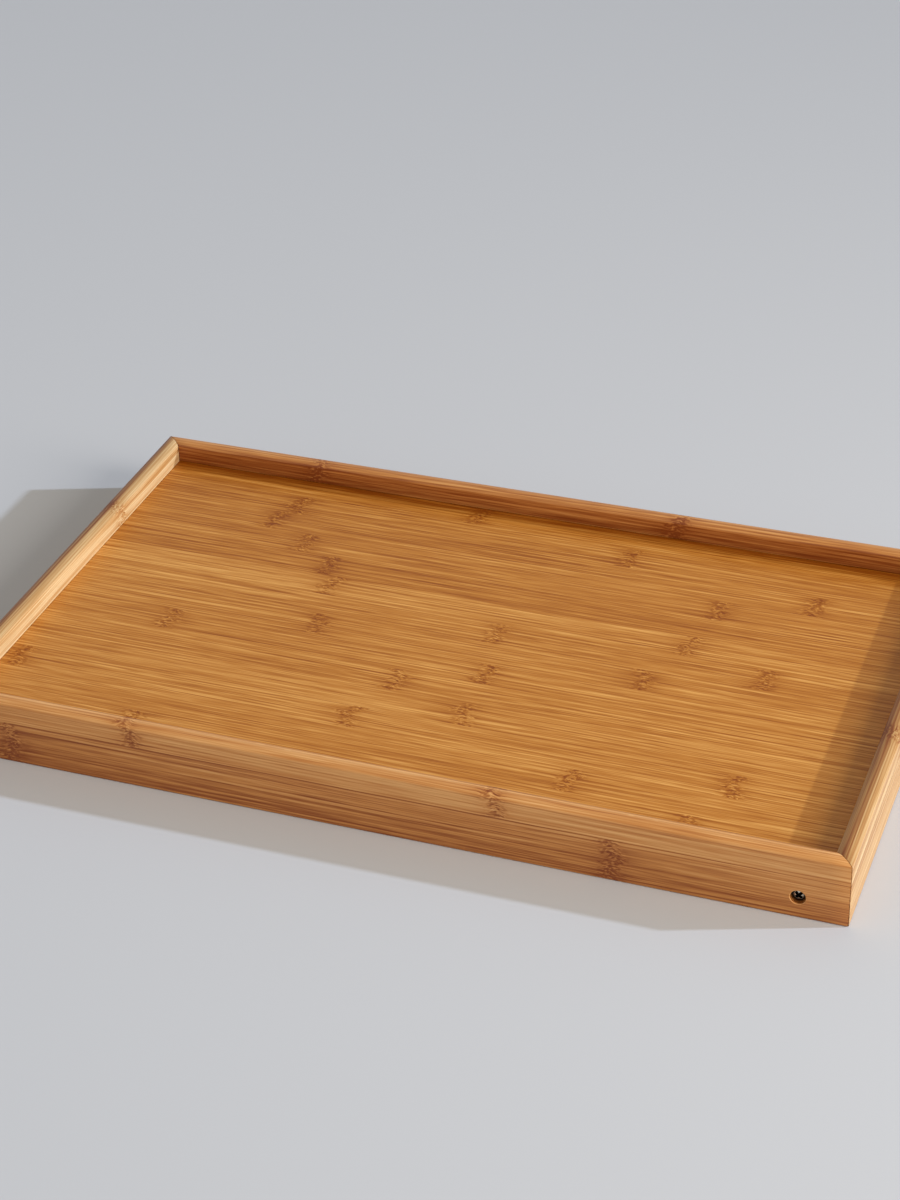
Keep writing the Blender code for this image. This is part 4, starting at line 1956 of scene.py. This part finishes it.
@dataclass(frozen=True)
class PhotoCamera:
    """The camera at the photograph's viewing angle."""

    azimuth: float = math.radians(20.779)
    elevation: float = math.radians(32.006)
    roll: float = math.radians(-1.774)
    target: tuple[float, float, float] = (-0.02637, 0.0450, 0.0200)
    distance: float = 1.5224
    focal_pixels: float = 2657.56
    picture_height: float = 1200.0
    sensor: float = 36.0
    clip: Point2 = (0.01, 100.0)

    def place(self) -> bpy.types.Object:
        """Make the camera and give it to the scene.

        Returns:
            The camera.
        """
        flat, sink = math.cos(self.elevation), math.sin(self.elevation)
        forward = Vector((-math.sin(self.azimuth) * flat, math.cos(self.azimuth) * flat, -sink))
        level = Vector((math.cos(self.azimuth), math.sin(self.azimuth), 0))
        upright = level.cross(forward)
        right = math.cos(self.roll) * level + math.sin(self.roll) * upright
        up = math.cos(self.roll) * upright - math.sin(self.roll) * level
        camera = bpy.data.objects.new("camera", bpy.data.cameras.new("camera"))
        bpy.context.scene.collection.objects.link(camera)
        turn = Matrix((right, up, -forward)).transposed().to_4x4()
        camera.matrix_world = Matrix.Translation(Vector(self.target) - forward * self.distance) @ turn
        camera.data.sensor_width = self.sensor
        camera.data.lens = self.focal_pixels * self.sensor / self.picture_height
        camera.data.clip_start, camera.data.clip_end = self.clip
        bpy.context.scene.camera = camera
        return camera


@dataclass(frozen=True)
class Studio:
    """A plain pale floor, a low key light and a wide window light from the right, and a room round it."""

    key_from: tuple[float, float, float] = (0.876, 0.311, 0.366)
    key_strength: float = 2.90
    key_softness: float = math.radians(1.5)
    key_colour: Colour = (0.67, 0.80, 1.0)
    window_azimuth: float = math.radians(-12.0)
    window_elevation: float = math.radians(26.0)
    window_distance: float = 2.5
    window_size: Point2 = (0.92, 1.42)
    window_power: float = 17.5
    window_spread: float = math.radians(106.0)
    room_colour: Colour = (1.0, 0.95, 0.875)
    room_lobes: tuple[tuple[Colour, float], ...] = (
        ((0.0, -1.0, 0.2), 0.54),
        ((0.0, 1.0, 0.2), 0.34),
        ((-1.0, 0.0, 0.3), 0.32),
    )
    lobe_edges: Point2 = (0.1, 0.95)
    room_dim: float = 0.11
    backdrop: Colour = (0.47, 0.485, 0.51)
    backdrop_rays: tuple[str, str, str] = ("Is Camera Ray", "Is Glossy Ray", "Is Transmission Ray")
    floor_colour: Colour = (0.575, 0.580, 0.595)
    floor_roughness: float = 0.9
    floor_gloss: float = 0.2
    floor_span: float = 40.0

    def light(self) -> None:
        """Make the key light, the window light and the room's light."""
        key = self._lamp("key_light", "SUN", self.key_colour, self.key_strength, self.key_from)
        key.data.angle = self.key_softness
        level = math.cos(self.window_elevation)
        side = (level * math.cos(self.window_azimuth), level * math.sin(self.window_azimuth))
        window_from = (*side, math.sin(self.window_elevation))
        window = self._lamp("window_light", "AREA", self.room_colour, self.window_power, window_from)
        window.data.shape = "RECTANGLE"
        window.data.size, window.data.size_y = self.window_size
        window.data.spread = self.window_spread
        window.location = Vector(window_from) * self.window_distance
        self._room()

    def _lamp(
        self,
        name: str,
        kind: str,
        colour: Colour,
        energy: float,
        source: tuple[float, float, float],
    ) -> bpy.types.Object:
        """A lamp that shines from a direction towards the tray.

        Args:
            name: The lamp's name.
            kind: Its type.
            colour: Its colour.
            energy: Its strength.
            source: The direction that its light comes from.

        Returns:
            The lamp.
        """
        data = bpy.data.lights.new(name, kind)
        data.energy = energy
        data.color = colour
        lamp = bpy.data.objects.new(name, data)
        bpy.context.scene.collection.objects.link(lamp)
        lamp.rotation_mode = "QUATERNION"
        lamp.rotation_quaternion = Vector(source).to_track_quat("Z", "Y")
        return lamp

    def _room(self) -> None:
        """Dim light all round with brighter lobes, and a plain backdrop where the room itself is seen."""
        world = bpy.data.worlds.new("studio")
        world.use_nodes = True
        sheet = NodeSheet(world.node_tree)
        sky = world.node_tree.nodes["Background"]
        towards = sheet.signal("ShaderNodeTexCoord", output="Generated")
        light = self.room_dim
        for middle, strength in self.room_lobes:
            settings = {"operation": "DOT_PRODUCT"}
            inputs = {0: towards, 1: tuple(Vector(middle).normalized())}
            near = sheet.signal("ShaderNodeVectorMath", settings, inputs, "Value")
            light = sheet.rise(near, *self.lobe_edges) * strength + light
        path = sheet.add("ShaderNodeLightPath")
        camera, glossy, through = (Signal(sheet, path.outputs[name]) for name in self.backdrop_rays)
        seen = sheet.math("MAXIMUM", sheet.math("MAXIMUM", camera, glossy), through)
        sheet.feed(sky.inputs["Strength"], light * (1.0 - seen) + seen)
        sheet.feed(sky.inputs["Color"], sheet.tint(self.room_colour, self.backdrop, seen))
        bpy.context.scene.world = world

    def floor(self, marks: Iterable[bpy.types.Object]) -> bpy.types.Object:
        """Make the floor, which lies at height 0 and no higher than the feet.

        Args:
            marks: Empties on the feet. Where they go below height 0, the floor goes down with them.

        Returns:
            The floor.
        """
        half = self.floor_span / 2
        corners = [(-half, -half, 0), (half, -half, 0), (half, half, 0), (-half, half, 0)]
        mesh = bpy.data.meshes.new("floor")
        mesh.from_pydata(corners, [], [(0, 1, 2, 3)])
        floor = new_object("floor", mesh)
        sheet = ShaderSheet("pale_floor")
        sheet.feed(sheet.shader.inputs["Base Color"], (*self.floor_colour, 1.0))
        sheet.feed(sheet.shader.inputs["Roughness"], self.floor_roughness)
        sheet.feed(sheet.shader.inputs["Specular IOR Level"], self.floor_gloss)
        mesh.materials.append(sheet.material)
        for mark in marks:
            limit = floor.constraints.new("FLOOR")
            limit.target = mark
            limit.floor_location = "FLOOR_NEGATIVE_Z"
        floor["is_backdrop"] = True
        return floor


def main() -> None:
    """Build the scene, sub-assembly by sub-assembly."""
    logging.basicConfig(level=logging.INFO, format="%(name)s: %(message)s")
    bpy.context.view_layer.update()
    bpy.context.scene.view_settings.view_transform = "Standard"
    PhotoCamera().place()
    studio = Studio()
    studio.light()
    finishes = Finishes()
    thread = ThreadRecipe()
    leg_frames = [LegFrame(side, finishes, thread) for side in Side]
    assemblies = [RailFrame(finishes), TrayPanel(finishes), StopBlocks(finishes), *leg_frames]
    for assembly in assemblies:
        for piece in assembly.build():
            LOG.info("%s: %d faces", piece.name, len(piece.data.polygons))
    studio.floor([mark for legs in leg_frames for mark in legs.foot_marks()])


if __name__ == "__main__":
    main()
